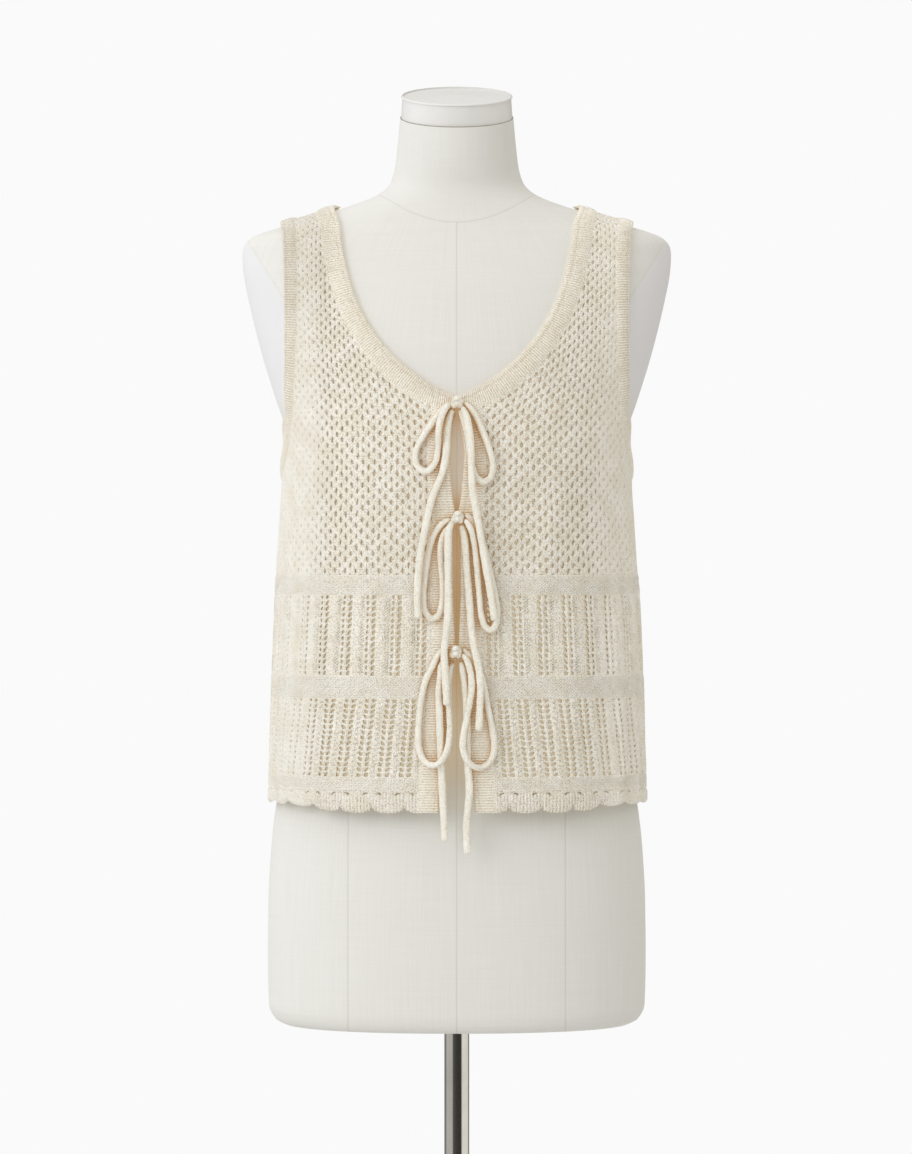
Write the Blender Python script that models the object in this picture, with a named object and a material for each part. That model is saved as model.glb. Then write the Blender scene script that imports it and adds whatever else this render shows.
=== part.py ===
"""A knitted lace vest top, tied in front with three bows, on a limbless dress form and its stand.

Sizes and tables are in millimetres. X runs to the right, -Y is the front, and Z is up from the floor.
The tables give heights above the lower edge of the form, which stands FORM_BASE above the floor.
"""

import math

import bmesh
import bpy
import numpy as np

METRE = 0.001
GAP = 0.3

# Stand
FORM_BASE = 500.0
BASE_RADIUS = 170.0
BASE_THICKNESS = 9.0
BASE_EDGE = 2.0
HUB_RADIUS = 20.0
HUB_HEIGHT = 34.0
POCKET_FLOOR = 4.0
POLE_RADIUS = 11.2
BORE_DEPTH = 60.0

# Dress form
NECK_TILT = math.radians(15.8)
CAP_RADIUS = 50.0
CAP_THICKNESS = 20.0
CAP_EDGE = 0.8
BUST_RISE = 8.0
BUST_ACROSS = 62.0
BUST_HEIGHT = 480.0
BUST_HALF_WIDTH = 36.0
BUST_HALF_HEIGHT = 46.0
FORM_SIDES = 40
FORM_STEP = 28.0

# Garment
HEM = 195.0
UNDERARM = 501.0
STRAP_INNER = 105.5
STRAP_OUTER = 155.0
CLOTH_EASE = 1.3
CLOTH_LIFT = 1.4
WALL = 2.0
BAND_WALL = 3.0
PLACKET_WIDTH = 18.0
NECKBAND_WIDTH = 17.0
ARMBAND_WIDTH = 12.5
RIDGE_SHORTENING = 0.955
FOLD_FADE_IN = 50.0
FOLD_FADE_OUT = 90.0

# Ties
LOOP_RADIUS = 2.8
TAIL_RADIUS = 3.2
TIE_STEP = 9.0
TIE_CLEARANCE = 0.45
KNOT_HALF_WIDTH = 6.4
KNOT_HALF_HEIGHT = 6.0
KNOT_HALF_DEPTH = 6.0
KNOT_LIFT = 6.6
KNOT_CLEARANCE = 0.45
KNOT_END = math.radians(82.8)
KNOT_FULLNESS = 0.8

# height, half_width, front, back, side, squareness, lean
FORM_RINGS = (
    (0.0, 155.0, -98.0, 104.0, 4.0, 2.25, 0.0),
    (4.0, 163.0, -103.5, 110.0, 4.0, 2.28, 0.0),
    (16.0, 169.0, -107.0, 115.0, 4.0, 2.30, 0.0),
    (60.0, 170.0, -108.0, 118.0, 4.0, 2.30, 0.0),
    (110.0, 169.5, -107.0, 119.0, 4.0, 2.30, 0.0),
    (150.0, 167.5, -104.0, 116.0, 4.0, 2.30, 0.0),
    (190.0, 163.5, -100.0, 109.0, 4.0, 2.28, 0.0),
    (230.0, 154.0, -94.0, 98.0, 3.0, 2.25, 0.0),
    (280.0, 133.0, -88.0, 80.0, 1.0, 2.20, 0.0),
    (326.0, 121.0, -87.0, 72.0, 0.0, 2.15, 0.0),
    (380.0, 129.0, -97.0, 77.0, 0.0, 2.15, 0.0),
    (430.0, 139.0, -109.0, 88.0, 0.0, 2.20, 0.0),
    (488.0, 147.0, -117.0, 97.0, 0.0, 2.25, 0.0),
    (524.0, 151.0, -115.0, 101.5, 0.0, 2.25, 0.0),
    (558.0, 162.0, -110.5, 104.0, 1.0, 2.20, 0.0),
    (598.0, 174.5, -104.0, 103.5, 2.0, 2.15, 0.0),
    (650.0, 187.5, -88.0, 95.0, 4.0, 2.10, 0.0),
    (676.0, 192.3, -76.5, 89.0, 5.0, 2.10, 0.0),
    (690.0, 193.2, -70.0, 85.0, 6.0, 2.05, 0.0),
    (698.0, 192.0, -66.0, 82.5, 6.0, 2.05, 0.0),
    (704.0, 187.5, -63.0, 80.5, 6.0, 2.00, 0.0),
    (708.5, 180.0, -61.0, 79.0, 6.5, 2.00, 0.0),
    (715.6, 158.0, -57.5, 76.0, 7.0, 2.00, 0.0),
    (722.5, 135.0, -55.0, 73.0, 7.0, 2.00, 0.0),
    (731.0, 107.5, -52.5, 69.0, 7.0, 2.00, 0.0),
    (738.0, 86.0, -51.0, 66.0, 6.0, 2.00, 0.0),
    (743.0, 74.0, -50.5, 64.0, 5.0, 2.00, 0.0),
    (748.0, 66.0, -50.5, 62.0, 3.0, 2.00, 0.02),
    (755.0, 60.0, -51.5, 59.5, 2.0, 2.00, 0.05),
    (768.0, 55.8, -54.5, 55.0, 0.0, 2.00, 0.11),
    (790.0, 53.0, -58.0, 49.0, -4.5, 2.00, 0.20),
    (813.0, 50.8, -60.0, 41.5, -9.5, 2.00, 0.283),
)

# height, half_width, front, back, side, squareness
HANGING_RINGS = (
    (190.0, 167.2, -117.5, 126.0, 4.0, 2.35),
    (250.0, 166.2, -118.5, 125.0, 4.0, 2.35),
    (330.0, 163.5, -120.0, 121.0, 3.0, 2.35),
    (400.0, 160.5, -122.0, 115.0, 1.5, 2.35),
    (450.0, 157.5, -124.5, 110.5, 0.5, 2.35),
    (488.0, 155.3, -126.0, 108.0, 0.0, 2.35),
    (515.0, 155.3, -123.5, 106.5, 0.0, 2.32),
    (540.0, 159.5, -117.0, 106.5, 0.5, 2.25),
)
HANGING_TOP = 535.0
RESTING_BOTTOM = 563.0

# height, half_gap
FRONT_GAP = (
    (190.0, 16.0),
    (223.0, 13.5),
    (254.0, 10.0),
    (276.0, 8.0),
    (302.0, 5.5),
    (336.0, 2.2),
    (362.0, 3.2),
    (394.0, 4.2),
    (430.0, 4.2),
    (452.0, 2.0),
    (474.0, 4.8),
    (508.0, 7.3),
    (535.0, 4.6),
    (560.0, 1.8),
)

# height, across
FRONT_NECKLINE = (
    (557.0, 1.8),
    (560.5, 9.0),
    (567.5, 22.0),
    (577.0, 36.0),
    (588.0, 49.5),
    (602.0, 63.0),
    (618.0, 74.7),
    (642.0, 87.5),
    (668.0, 96.2),
    (692.0, 101.5),
    (712.0, 104.3),
)
BACK_NECKLINE = (
    (687.0, 0.0),
    (687.6, 18.0),
    (690.5, 38.0),
    (697.0, 60.0),
    (707.0, 80.0),
    (718.0, 94.0),
)

# height, across
FRONT_ARMHOLE = (
    (503.5, 154.6),
    (509.0, 153.4),
    (520.0, 151.8),
    (538.0, 151.0),
    (560.0, 151.0),
    (600.0, 151.0),
    (645.0, 151.5),
    (680.0, 152.5),
    (703.0, 154.0),
)
BACK_ARMHOLE = (
    (503.5, 155.0),
    (509.0, 154.6),
    (520.0, 154.2),
    (538.0, 155.5),
    (560.0, 157.0),
    (600.0, 158.0),
    (645.0, 158.0),
    (680.0, 157.0),
    (703.0, 156.0),
)

# across, slant, half_width, rise, bottom, top
FRONT_FOLDS = (
    (150.0, 0.02, 10.0, 3.0, -60.0, 235.0),
    (176.0, 0.00, 8.5, 3.6, -60.0, 285.0),
    (198.0, -0.01, 8.0, 3.0, -60.0, 260.0),
    (34.0, 0.20, 13.0, 2.4, 120.0, 330.0),
    (92.0, 0.05, 16.0, 1.6, -60.0, 250.0),
    (-30.0, -0.22, 14.0, 1.8, 110.0, 320.0),
    (-104.0, -0.04, 17.0, 1.8, -60.0, 240.0),
    (-158.0, 0.00, 12.0, 2.6, -60.0, 270.0),
    (-192.0, 0.02, 9.0, 2.4, -60.0, 230.0),
)
BACK_FOLDS = (
    (-168.0, 0.03, 12.0, 3.2, -60.0, 280.0),
    (-118.0, 0.04, 15.0, 2.6, -60.0, 235.0),
    (-46.0, 0.02, 18.0, 2.2, -60.0, 210.0),
    (28.0, -0.03, 16.0, 2.8, -60.0, 250.0),
    (96.0, -0.04, 17.0, 2.2, -60.0, 225.0),
    (160.0, -0.02, 11.0, 3.4, -60.0, 290.0),
)

# knot: across, height
KNOTS = {
    "top": (0.0, 553.0),
    "middle": (0.8, 452.6),
    "bottom": (-1.0, 335.6),
}

# across, height, lift above the cloth
LOOP_ROUTES = {
    "tie_top_left_loop": (
        (-6.1, 551.6, 3.4), (-10.4, 546.4, 10.3), (-14.3, 536.9, 10.3), (-16.1, 524.7, 10.3),
        (-16.5, 510.8, 3.4), (-19.1, 499.5, 3.4), (-26.1, 492.6, 3.4), (-33.0, 495.2, 3.4),
        (-36.2, 503.9, 3.4), (-33.9, 514.3, 3.4), (-27.8, 524.7, 3.4), (-21.3, 534.2, 3.4),
        (-14.3, 543.8, 3.4), (-6.9, 552.1, 3.4),
    ),
    "tie_top_right_loop": (
        (2.6, 546.0, 3.4), (6.3, 536.9, 3.4), (9.4, 523.0, 3.4), (11.3, 509.1, 3.4),
        (13.3, 496.0, 3.4), (16.9, 487.4, 3.4), (22.6, 483.4, 3.4), (28.7, 486.5, 3.4),
        (31.3, 495.2, 3.4), (30.0, 505.6, 3.4), (26.1, 517.7, 3.4), (21.3, 529.9, 3.4),
        (16.1, 541.2, 3.4), (10.9, 548.6, 3.4), (6.9, 552.5, 3.4),
    ),
    "tie_middle_left_loop": (
        (-5.6, 450.9, 3.4), (-12.2, 447.0, 3.4), (-18.2, 439.6, 3.4), (-22.6, 429.2, 3.4),
        (-25.6, 415.3, 3.4), (-27.9, 399.6, 3.4), (-29.1, 383.1, 3.4), (-27.4, 371.0, 3.4),
        (-22.1, 364.5, 3.4), (-16.5, 366.6, 3.4), (-13.2, 375.3, 3.4), (-12.3, 389.2, 3.4),
        (-13.2, 404.0, 3.4), (-14.3, 418.7, 3.4), (-13.5, 430.9, 3.4), (-9.6, 440.5, 3.4),
        (-4.3, 446.1, 3.4),
    ),
    "tie_middle_right_loop": (
        (7.2, 450.4, 10.3), (11.7, 443.1, 10.3), (15.0, 431.8, 6.8), (16.9, 417.0, 3.4),
        (18.4, 399.6, 3.4), (19.8, 382.3, 3.4), (21.3, 367.5, 3.4), (24.9, 357.1, 3.4),
        (30.0, 354.6, 3.4), (34.3, 360.5, 3.4), (35.2, 371.8, 3.4), (33.0, 385.7, 3.4),
        (29.5, 401.4, 3.4), (25.9, 417.0, 3.4), (22.0, 431.8, 3.4), (17.4, 443.1, 3.4),
        (12.6, 450.4, 3.4), (7.4, 454.8, 3.4),
    ),
    "tie_bottom_left_loop": (
        (-8.0, 340.2, 3.6), (-15.0, 334.2, 3.6), (-20.8, 323.2, 3.4), (-26.5, 311.9, 3.4),
        (-30.0, 298.9, 3.4), (-32.1, 284.1, 3.4), (-33.4, 268.5, 3.4), (-33.3, 254.6, 3.4),
        (-30.6, 244.2, 3.4), (-24.8, 237.7, 6.8), (-17.8, 237.2, 10.3), (-11.3, 243.3, 10.3),
        (-7.4, 253.7, 6.8), (-6.0, 265.9, 3.4), (-6.5, 281.5, 3.4), (-7.2, 296.3, 3.4),
        (-7.2, 309.3, 3.4), (-6.0, 318.5, 3.4), (-3.2, 325.6, 3.4),
    ),
    "tie_bottom_right_loop": (
        (5.2, 333.6, 10.3), (9.3, 326.7, 10.3), (12.2, 316.3, 10.3), (12.9, 303.2, 10.3),
        (11.1, 290.2, 10.3), (8.1, 275.4, 10.3), (5.5, 260.7, 10.3), (5.6, 249.4, 10.3),
        (9.6, 240.3, 10.3), (16.5, 235.1, 6.8), (23.9, 235.5, 3.4), (30.0, 241.6, 3.4),
        (32.8, 252.4, 3.4), (31.5, 265.0, 3.4), (28.7, 278.9, 3.4), (25.9, 292.8, 3.4),
        (23.2, 306.7, 3.4), (19.1, 319.3, 3.4), (13.0, 329.7, 3.4), (5.6, 337.5, 3.4),
    ),
}
TAIL_ROUTES = {
    "tie_top_left_tail": (
        (-3.5, 546.8, 3.4), (-6.1, 539.5, 3.4), (-8.1, 528.2, 3.4), (-8.9, 514.3, 3.4),
        (-10.0, 503.0, 3.4), (-12.6, 490.8, 3.4), (-16.9, 480.4, 3.4), (-21.7, 468.2, 3.4),
        (-25.6, 451.7, 6.8), (-29.1, 434.4, 10.3), (-32.1, 417.0, 10.3), (-33.6, 399.6, 10.3),
        (-34.5, 381.4, 10.3), (-33.6, 364.0, 10.3),
    ),
    "tie_top_right_tail": (
        (4.8, 548.6, 10.3), (8.3, 540.3, 10.3), (11.1, 526.4, 10.3), (12.4, 509.1, 10.3),
        (12.8, 491.7, 10.3), (13.6, 476.9, 10.3), (16.1, 462.2, 10.3), (18.9, 446.5, 10.3),
        (21.7, 430.9, 10.3), (24.6, 414.4, 10.3), (27.4, 397.9, 10.3), (30.3, 380.5, 10.3),
        (33.0, 362.3, 10.3),
    ),
    "tie_middle_left_tail": (
        (-3.6, 449.1, 10.3), (-6.8, 441.3, 10.3), (-7.6, 428.3, 10.3), (-7.6, 410.1, 10.3),
        (-7.5, 390.9, 10.3), (-7.6, 371.8, 10.3), (-8.9, 353.6, 10.3), (-10.9, 337.1, 10.3),
        (-10.3, 321.5, 10.3), (-9.4, 305.8, 10.3), (-8.9, 288.5, 10.3),
    ),
    "tie_middle_right_tail": (
        (3.6, 446.4, 3.4), (6.3, 437.8, 3.4), (7.6, 424.8, 3.4), (8.8, 407.4, 3.4),
        (10.2, 389.2, 3.4), (11.5, 371.8, 3.4), (12.6, 355.3, 6.8), (15.2, 338.8, 10.3),
        (18.7, 323.2, 10.3), (20.4, 307.6, 10.3), (20.1, 289.3, 10.3), (19.1, 266.8, 10.3),
    ),
    "tie_bottom_left_tail": (
        (-8.6, 330.4, 3.4), (-12.8, 323.4, 3.4), (-14.2, 313.8, 3.4), (-15.7, 300.6, 3.4),
        (-15.2, 284.1, 3.4), (-14.6, 263.3, 3.4), (-14.0, 241.6, 3.4), (-12.9, 223.3, 3.4),
        (-12.1, 206.0, 3.4), (-11.3, 188.6, 3.4), (-10.4, 170.3, 3.4),
    ),
    "tie_bottom_right_tail": (
        (3.8, 327.0, 3.4), (5.6, 318.0, 3.4), (7.4, 304.1, 3.4), (8.6, 289.3, 3.4),
        (9.1, 272.8, 3.4), (9.1, 254.6, 3.4), (9.7, 236.4, 3.4), (11.0, 218.1, 3.4),
        (10.2, 204.2, 3.4), (8.7, 190.3, 3.4), (8.5, 175.6, 3.4), (9.3, 159.1, 3.4),
    ),
}

# How finely the cloth's surfaces are measured
HEM_MARGIN = 12.0
FACE_TOP = 744.0
SHOULDER_START = 621.0
HEIGHT_STEP = 1.5
ANGLES = 241
GRID_STEP = 2.0
EDGE_SAMPLES = 120
TIE_SAMPLES = 900
RIM_PLACES = 12

# Rows and columns of the faceted cloth
LOWER_ROWS = 9
PLACKET_UPPER_ROWS = 4
NECK_ROWS = 12
PANEL_COLUMNS = 17
BACK_HALF_COLUMNS = 14
BAND_COLUMNS = 2
PLACKET_COLUMNS = 3
FRONT_CROWDING = 1.25
BACK_CROWDING = 1.2

# Sides of the round pieces
ROUND_SIDES = 48
POLE_SIDES = 32
KNOT_SIDES = 14
KNOT_LEVELS = 8


def smooth_through(places, values, at):
    """Values on a smooth curve through a table's rows, with no overshoot between them."""
    places = np.asarray(places, float)
    values = np.asarray(values, float)
    at = np.clip(np.asarray(at, float), places[0], places[-1])
    steps = np.diff(places)
    rates = np.diff(values) / steps
    slopes = np.concatenate([rates[:1], np.zeros(len(rates) - 1), rates[-1:]])
    turns = rates[:-1] * rates[1:] > 0
    sums = np.where(turns, rates[:-1] + rates[1:], 1.0)
    slopes[1:-1] = np.where(turns, 2 * rates[:-1] * rates[1:] / sums, 0.0)
    row = np.clip(np.searchsorted(places, at, side="right") - 1, 0, len(places) - 2)
    part = (at - places[row]) / steps[row]
    rise = 3 * part**2 - 2 * part**3
    start = (part**3 - 2 * part**2 + part) * steps[row] * slopes[row]
    end = (part**3 - part**2) * steps[row] * slopes[row + 1]
    return values[row] + rise * (values[row + 1] - values[row]) + start + end


def table_at(table, at):
    """The other columns of a table, read smoothly at places in its first column."""
    columns = np.array(table).T
    return [smooth_through(columns[0], column, at) for column in columns[1:]]


def ease_in(at, start, end):
    """0 before start, 1 after end, and a soft step between them."""
    part = np.clip((at - start) / (end - start), 0, 1)
    return part * part * (3 - 2 * part)


def ring_points(sizes, heights, angles):
    """Points on squared ovals: angle 0 is the centre front, a quarter turn is the +X side."""
    half_width, front, back, side, squareness = (np.asarray(size)[:, None] for size in sizes)
    power = 2 / squareness
    sine = np.sin(angles)[None, :]
    cosine = np.cos(angles)[None, :]
    across = half_width * np.sign(sine) * np.abs(sine) ** power
    reach = np.where(cosine > 0, front - side, back - side)
    fore = side + reach * np.abs(cosine) ** power
    up = np.broadcast_to(np.asarray(heights, float)[:, None], across.shape)
    return np.stack([across, fore, up], axis=-1)


def cloth_sizes(heights):
    """The inner face of the cloth: it rests on the shoulders and chest, and hangs free below the bust."""
    hanging = table_at(HANGING_RINGS, heights)
    half_width, front, back, side, squareness, _ = table_at(FORM_RINGS, heights - CLOTH_LIFT)
    resting = [half_width + CLOTH_EASE, front - CLOTH_EASE, back + CLOTH_EASE, side, squareness]
    share = ease_in(heights, HANGING_TOP, RESTING_BOTTOM)
    return [low * (1 - share) + high * share for low, high in zip(hanging, resting)]


class ClothFace:
    """One face of the garment, front or back, unrolled: across from its centre, and along from the hem."""

    def __init__(self, is_front):
        self.is_front = is_front
        heights = np.arange(HEM - HEM_MARGIN, FACE_TOP, HEIGHT_STEP)
        quarter = np.linspace(0, math.pi / 2, ANGLES)
        angles = quarter if is_front else math.pi - quarter
        self.sizes = cloth_sizes(heights)
        points = ring_points(self.sizes, heights, angles)
        turned = np.gradient(points, axis=1)
        raised = np.gradient(points, axis=0)
        normals = np.cross(turned, raised)
        normals /= np.linalg.norm(normals, axis=2, keepdims=True)
        if not is_front:
            normals = -normals
        lengths = np.linalg.norm(np.diff(points, axis=1), axis=2)
        around = np.concatenate([np.zeros((len(heights), 1)), np.cumsum(lengths, axis=1)], axis=1)
        to_side = around[:, -1]
        self.half_girth = np.interp(UNDERARM, heights, to_side)
        self.heights = heights
        self.scale = np.where(heights < UNDERARM, self.half_girth / to_side, 1.0)
        self.around = around * self.scale[:, None]
        self.points = points
        self.lay_columns(points, normals)

    def lay_columns(self, points, normals):
        """Follows each stitch column up the cloth, and measures along it."""
        count = int(self.half_girth / GRID_STEP) + 2
        self.across_step = self.half_girth / (count - 1)
        values = np.concatenate([points, normals], axis=2)
        columns = []
        self.ridge = np.zeros(count)
        for number in range(count):
            columns.append(self.column(number * self.across_step, values))
        longest = max(column[0][-1] for column in columns)
        self.along = np.arange(columns[0][0][0], longest + GRID_STEP, GRID_STEP)
        self.grid = np.zeros((count, len(self.along), 6))
        for number, (along, rows) in enumerate(columns):
            self.ridge[number] = along[-1]
            for part in range(6):
                self.grid[number, :, part] = np.interp(self.along, along, rows[:, part])

    def column(self, across, values):
        reach = self.around[:, -1]
        past = (self.heights > UNDERARM) & (reach < across)
        end = int(np.argmax(past)) if past.any() else len(self.heights)
        rows = np.array([
            [np.interp(across, self.around[row], values[row, :, part]) for part in range(6)]
            for row in range(end)
        ])
        if past.any():
            share = (reach[end - 1] - across) / (reach[end - 1] - reach[end])
            last = values[end - 1, -1] * (1 - share) + values[end, -1] * share
            rows = np.vstack([rows, last])
        steps = np.linalg.norm(np.diff(rows[:, :3], axis=0), axis=1)
        along = np.concatenate([[0.0], np.cumsum(steps)])
        hem_along = np.interp(HEM, rows[:, 2], along)
        return along - hem_along, rows

    def ridge_at(self, across):
        return np.interp(across, np.arange(len(self.ridge)) * self.across_step, self.ridge)

    def read(self, across, along):
        """Point and outward direction at places on the +X half."""
        column = np.clip(np.asarray(across, float) / self.across_step, 0, len(self.ridge) - 1.001)
        row = (np.asarray(along, float) - self.along[0]) / GRID_STEP
        row = np.clip(row, 0, len(self.along) - 1.001)
        left = column.astype(int)
        low = row.astype(int)
        right_share = (column - left)[..., None]
        high_share = (row - low)[..., None]
        lower = self.grid[left, low] * (1 - right_share) + self.grid[left + 1, low] * right_share
        upper = self.grid[left, low + 1] * (1 - right_share) + self.grid[left + 1, low + 1] * right_share
        return lower * (1 - high_share) + upper * high_share

    def unrolled(self, across, height):
        """Where a place given by its X and its height lies on the unrolled cloth."""
        row = np.searchsorted(self.heights, height)
        row = min(max(row, 1), len(self.heights) - 1)
        share = (height - self.heights[row - 1]) / HEIGHT_STEP
        flat = [
            np.interp(across, self.points[near, :, 0], self.around[near])
            for near in (row - 1, row)
        ]
        column = flat[0] * (1 - share) + flat[1] * share
        return column, self.along_at(column, height)

    def along_at(self, across, height):
        steps = self.along[self.along <= self.ridge_at(across)]
        heights = self.read(np.full(len(steps), across), steps)[:, 2]
        return np.interp(height, heights, steps)


def fold_rise(folds, across, along):
    """How far the soft folds lift the cloth; each fades out at its bottom and its top."""
    rise = np.zeros(np.broadcast(across, along).shape)
    for place, slant, half_width, height, bottom, top in folds:
        off = (across - place - slant * along) / half_width
        fade_in = ease_in(along, bottom, bottom + FOLD_FADE_IN)
        fade = fade_in * (1 - ease_in(along, top - FOLD_FADE_OUT, top))
        rise = rise + height * np.exp(-off * off) * fade
    return rise


def cloth_points(face, across, along, out):
    """Points on the cloth, moved out from its inner face. Across is negative on the -X half."""
    across, along = np.broadcast_arrays(np.asarray(across, float), np.asarray(along, float))
    found = face.read(np.abs(across), along)
    folds = FRONT_FOLDS if face.is_front else BACK_FOLDS
    lift = (out + fold_rise(folds, across, along))[..., None]
    points = found[..., :3] + found[..., 3:] * lift
    points[..., 0] *= np.where(across < 0, -1, 1)
    points[..., 2] += FORM_BASE
    return points


def plain_material(name, colour, roughness, metallic):
    material = bpy.data.materials.new(name)
    material.use_nodes = True
    shader = material.node_tree.nodes["Principled BSDF"]
    shader.inputs["Base Color"].default_value = (*colour, 1)
    shader.inputs["Roughness"].default_value = roughness
    shader.inputs["Metallic"].default_value = metallic
    return material


def finished_object(name, mesh_data, material):
    """Turns a bmesh into a named object at its place, faces out and shaded smooth."""
    bmesh.ops.recalc_face_normals(mesh_data, faces=mesh_data.faces)
    mesh = bpy.data.meshes.new(name)
    mesh_data.to_mesh(mesh)
    mesh_data.free()
    mesh.materials.append(material)
    mesh.shade_smooth()
    mesh.set_sharp_from_angle(angle=math.radians(40))
    made = bpy.data.objects.new(name, mesh)
    bpy.context.scene.collection.objects.link(made)
    return made


def wall_between(name, inner, outer, material):
    """A closed wall between two grids of points that have the same rows and columns."""
    rows, columns = inner.shape[:2]
    mesh_data = bmesh.new()
    faces = []
    for grid in (inner, outer):
        faces.append([[mesh_data.verts.new(point * METRE) for point in row] for row in grid])
    near, far = faces
    for row in range(rows - 1):
        for column in range(columns - 1):
            for layer, step in ((near, 1), (far, -1)):
                corners = [
                    layer[row][column],
                    layer[row + 1][column],
                    layer[row + 1][column + 1],
                    layer[row][column + 1],
                ]
                mesh_data.faces.new(corners[::step])
    for row in range(rows - 1):
        for column in (0, columns - 1):
            mesh_data.faces.new(
                (near[row][column], near[row + 1][column], far[row + 1][column], far[row][column])
            )
    for column in range(columns - 1):
        for row in (0, rows - 1):
            mesh_data.faces.new(
                (near[row][column], near[row][column + 1], far[row][column + 1], far[row][column])
            )
    return finished_object(name, mesh_data, material)


def cloth_wall(name, face, across, along, thickness, material):
    """A wall of cloth over a grid of places on one face of the garment."""
    inner = cloth_points(face, across, along, 0.0)
    outer = cloth_points(face, across, along, thickness)
    return wall_between(name, inner, outer, material)


def lofted(name, rings, material):
    """A closed body through rings of points, with a flat face over the first and the last."""
    mesh_data = bmesh.new()
    verts = [[mesh_data.verts.new(point * METRE) for point in ring] for ring in rings]
    count = len(verts[0])
    for low, high in zip(verts, verts[1:]):
        for number in range(count):
            after = (number + 1) % count
            mesh_data.faces.new((low[number], low[after], high[after], high[number]))
    mesh_data.faces.new(verts[0])
    mesh_data.faces.new(verts[-1])
    return finished_object(name, mesh_data, material)


def circle(radius, height, sides):
    turns = np.arange(sides) * 2 * math.pi / sides
    return np.stack([radius * np.sin(turns), -radius * np.cos(turns), np.full(sides, height)], axis=1)


def build_base(material):
    """A round plate with a short hub, whose pocket holds the pole."""
    profile = (
        (POLE_RADIUS + GAP, POCKET_FLOOR),
        (POLE_RADIUS + GAP, HUB_HEIGHT),
        (HUB_RADIUS, HUB_HEIGHT),
        (HUB_RADIUS, BASE_THICKNESS),
        (BASE_RADIUS - BASE_EDGE, BASE_THICKNESS),
        (BASE_RADIUS, BASE_THICKNESS - BASE_EDGE),
        (BASE_RADIUS, 0.0),
    )
    rings = [circle(radius, height, ROUND_SIDES) for radius, height in profile]
    return lofted("stand_base", rings, material)


def build_pole(material):
    """A straight pole from the hub's pocket to the end of the form's bore."""
    bottom = POCKET_FLOOR + GAP
    top = FORM_BASE + BORE_DEPTH - GAP
    rings = [circle(POLE_RADIUS, height, POLE_SIDES) for height in (bottom, top)]
    return lofted("stand_pole", rings, material)


def form_heights():
    """The table's heights, with more between the rows that are far apart."""
    heights = [FORM_RINGS[0][0]]
    for row in FORM_RINGS[1:]:
        count = max(1, math.ceil((row[0] - heights[-1]) / FORM_STEP))
        heights.extend(np.linspace(heights[-1], row[0], count + 1)[1:])
    return np.array(heights)


def form_surface(heights, angles):
    """The dress form's skin, with its bust and its forward-leaning neck."""
    sizes = table_at(FORM_RINGS, heights)
    points = ring_points(sizes[:5], heights, angles)
    lean = sizes[5][:, None]
    side = sizes[3][:, None]
    points[..., 2] += lean * (points[..., 1] - side)
    across = (np.abs(points[..., 0]) - BUST_ACROSS) / BUST_HALF_WIDTH
    above = (points[..., 2] - BUST_HEIGHT) / BUST_HALF_HEIGHT
    swell = BUST_RISE * np.exp(-across * across - above * above)
    points[..., 1] -= np.where(np.cos(angles)[None, :] > 0, swell, 0)
    return points


def build_form(material):
    """Torso, shoulder stubs and neck in one body, with a bore for the pole in its flat underside."""
    angles = np.arange(FORM_SIDES) * 2 * math.pi / FORM_SIDES
    rings = list(form_surface(form_heights(), angles))
    bore = [circle(POLE_RADIUS + GAP, height, FORM_SIDES) for height in (BORE_DEPTH, 0.0)]
    rings = bore + rings
    raised = [ring + np.array([0, 0, FORM_BASE]) for ring in rings]
    return lofted("form_torso", raised, material)


def build_neck_cap(material):
    """A disc on the neck's tilted top."""
    top = FORM_RINGS[-1]
    across = np.array([1.0, 0.0, 0.0])
    fore = np.array([0.0, math.cos(NECK_TILT), math.sin(NECK_TILT)])
    axis = np.array([0.0, -math.sin(NECK_TILT), math.cos(NECK_TILT)])
    centre = np.array([0.0, (top[2] + top[3]) / 2, FORM_BASE + top[0]])
    centre = centre + axis * GAP
    profile = (
        (CAP_RADIUS - CAP_EDGE, 0.0),
        (CAP_RADIUS, CAP_EDGE),
        (CAP_RADIUS, CAP_THICKNESS - CAP_EDGE),
        (CAP_RADIUS - CAP_EDGE, CAP_THICKNESS),
    )
    rings = []
    for radius, height in profile:
        flat = circle(radius, height, ROUND_SIDES)
        rings.append(centre + flat[:, :1] * across + flat[:, 1:2] * fore + flat[:, 2:] * axis)
    return lofted("neck_cap", rings, material)


def offset_line(places, distance, left):
    """A line of unrolled places moved sideways by a distance."""
    along = np.gradient(places, axis=0)
    along /= np.linalg.norm(along, axis=1, keepdims=True)
    turned = np.stack([-along[:, 1], along[:, 0]], axis=1)
    return places + turned * (distance if left else -distance)


def resampled(places, count):
    """The same line with count places, evenly apart."""
    steps = np.linalg.norm(np.diff(places, axis=0), axis=1)
    length = np.concatenate([[0.0], np.cumsum(steps)])
    at = np.linspace(0, length[-1], count)
    return np.stack([np.interp(at, length, places[:, part]) for part in (0, 1)], axis=1)


def edge_line(face, table, strap_across, from_side):
    """An edge of the garment, unrolled, from its lowest place up to the shoulder ridge."""
    places = [face.unrolled(across, height) for height, across in table]
    if from_side:
        places.insert(0, (face.half_girth, face.along_at(face.half_girth, UNDERARM)))
    column = ridge_column(face, strap_across)
    places.append((column, face.ridge_at(column)))
    places = np.array(places)
    steps = np.linalg.norm(np.diff(places, axis=0), axis=1)
    length = np.concatenate([[0.0], np.cumsum(steps)])
    at = np.linspace(0, length[-1], EDGE_SAMPLES)
    return np.stack([smooth_through(length, places[:, part], at) for part in (0, 1)], axis=1)


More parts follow.
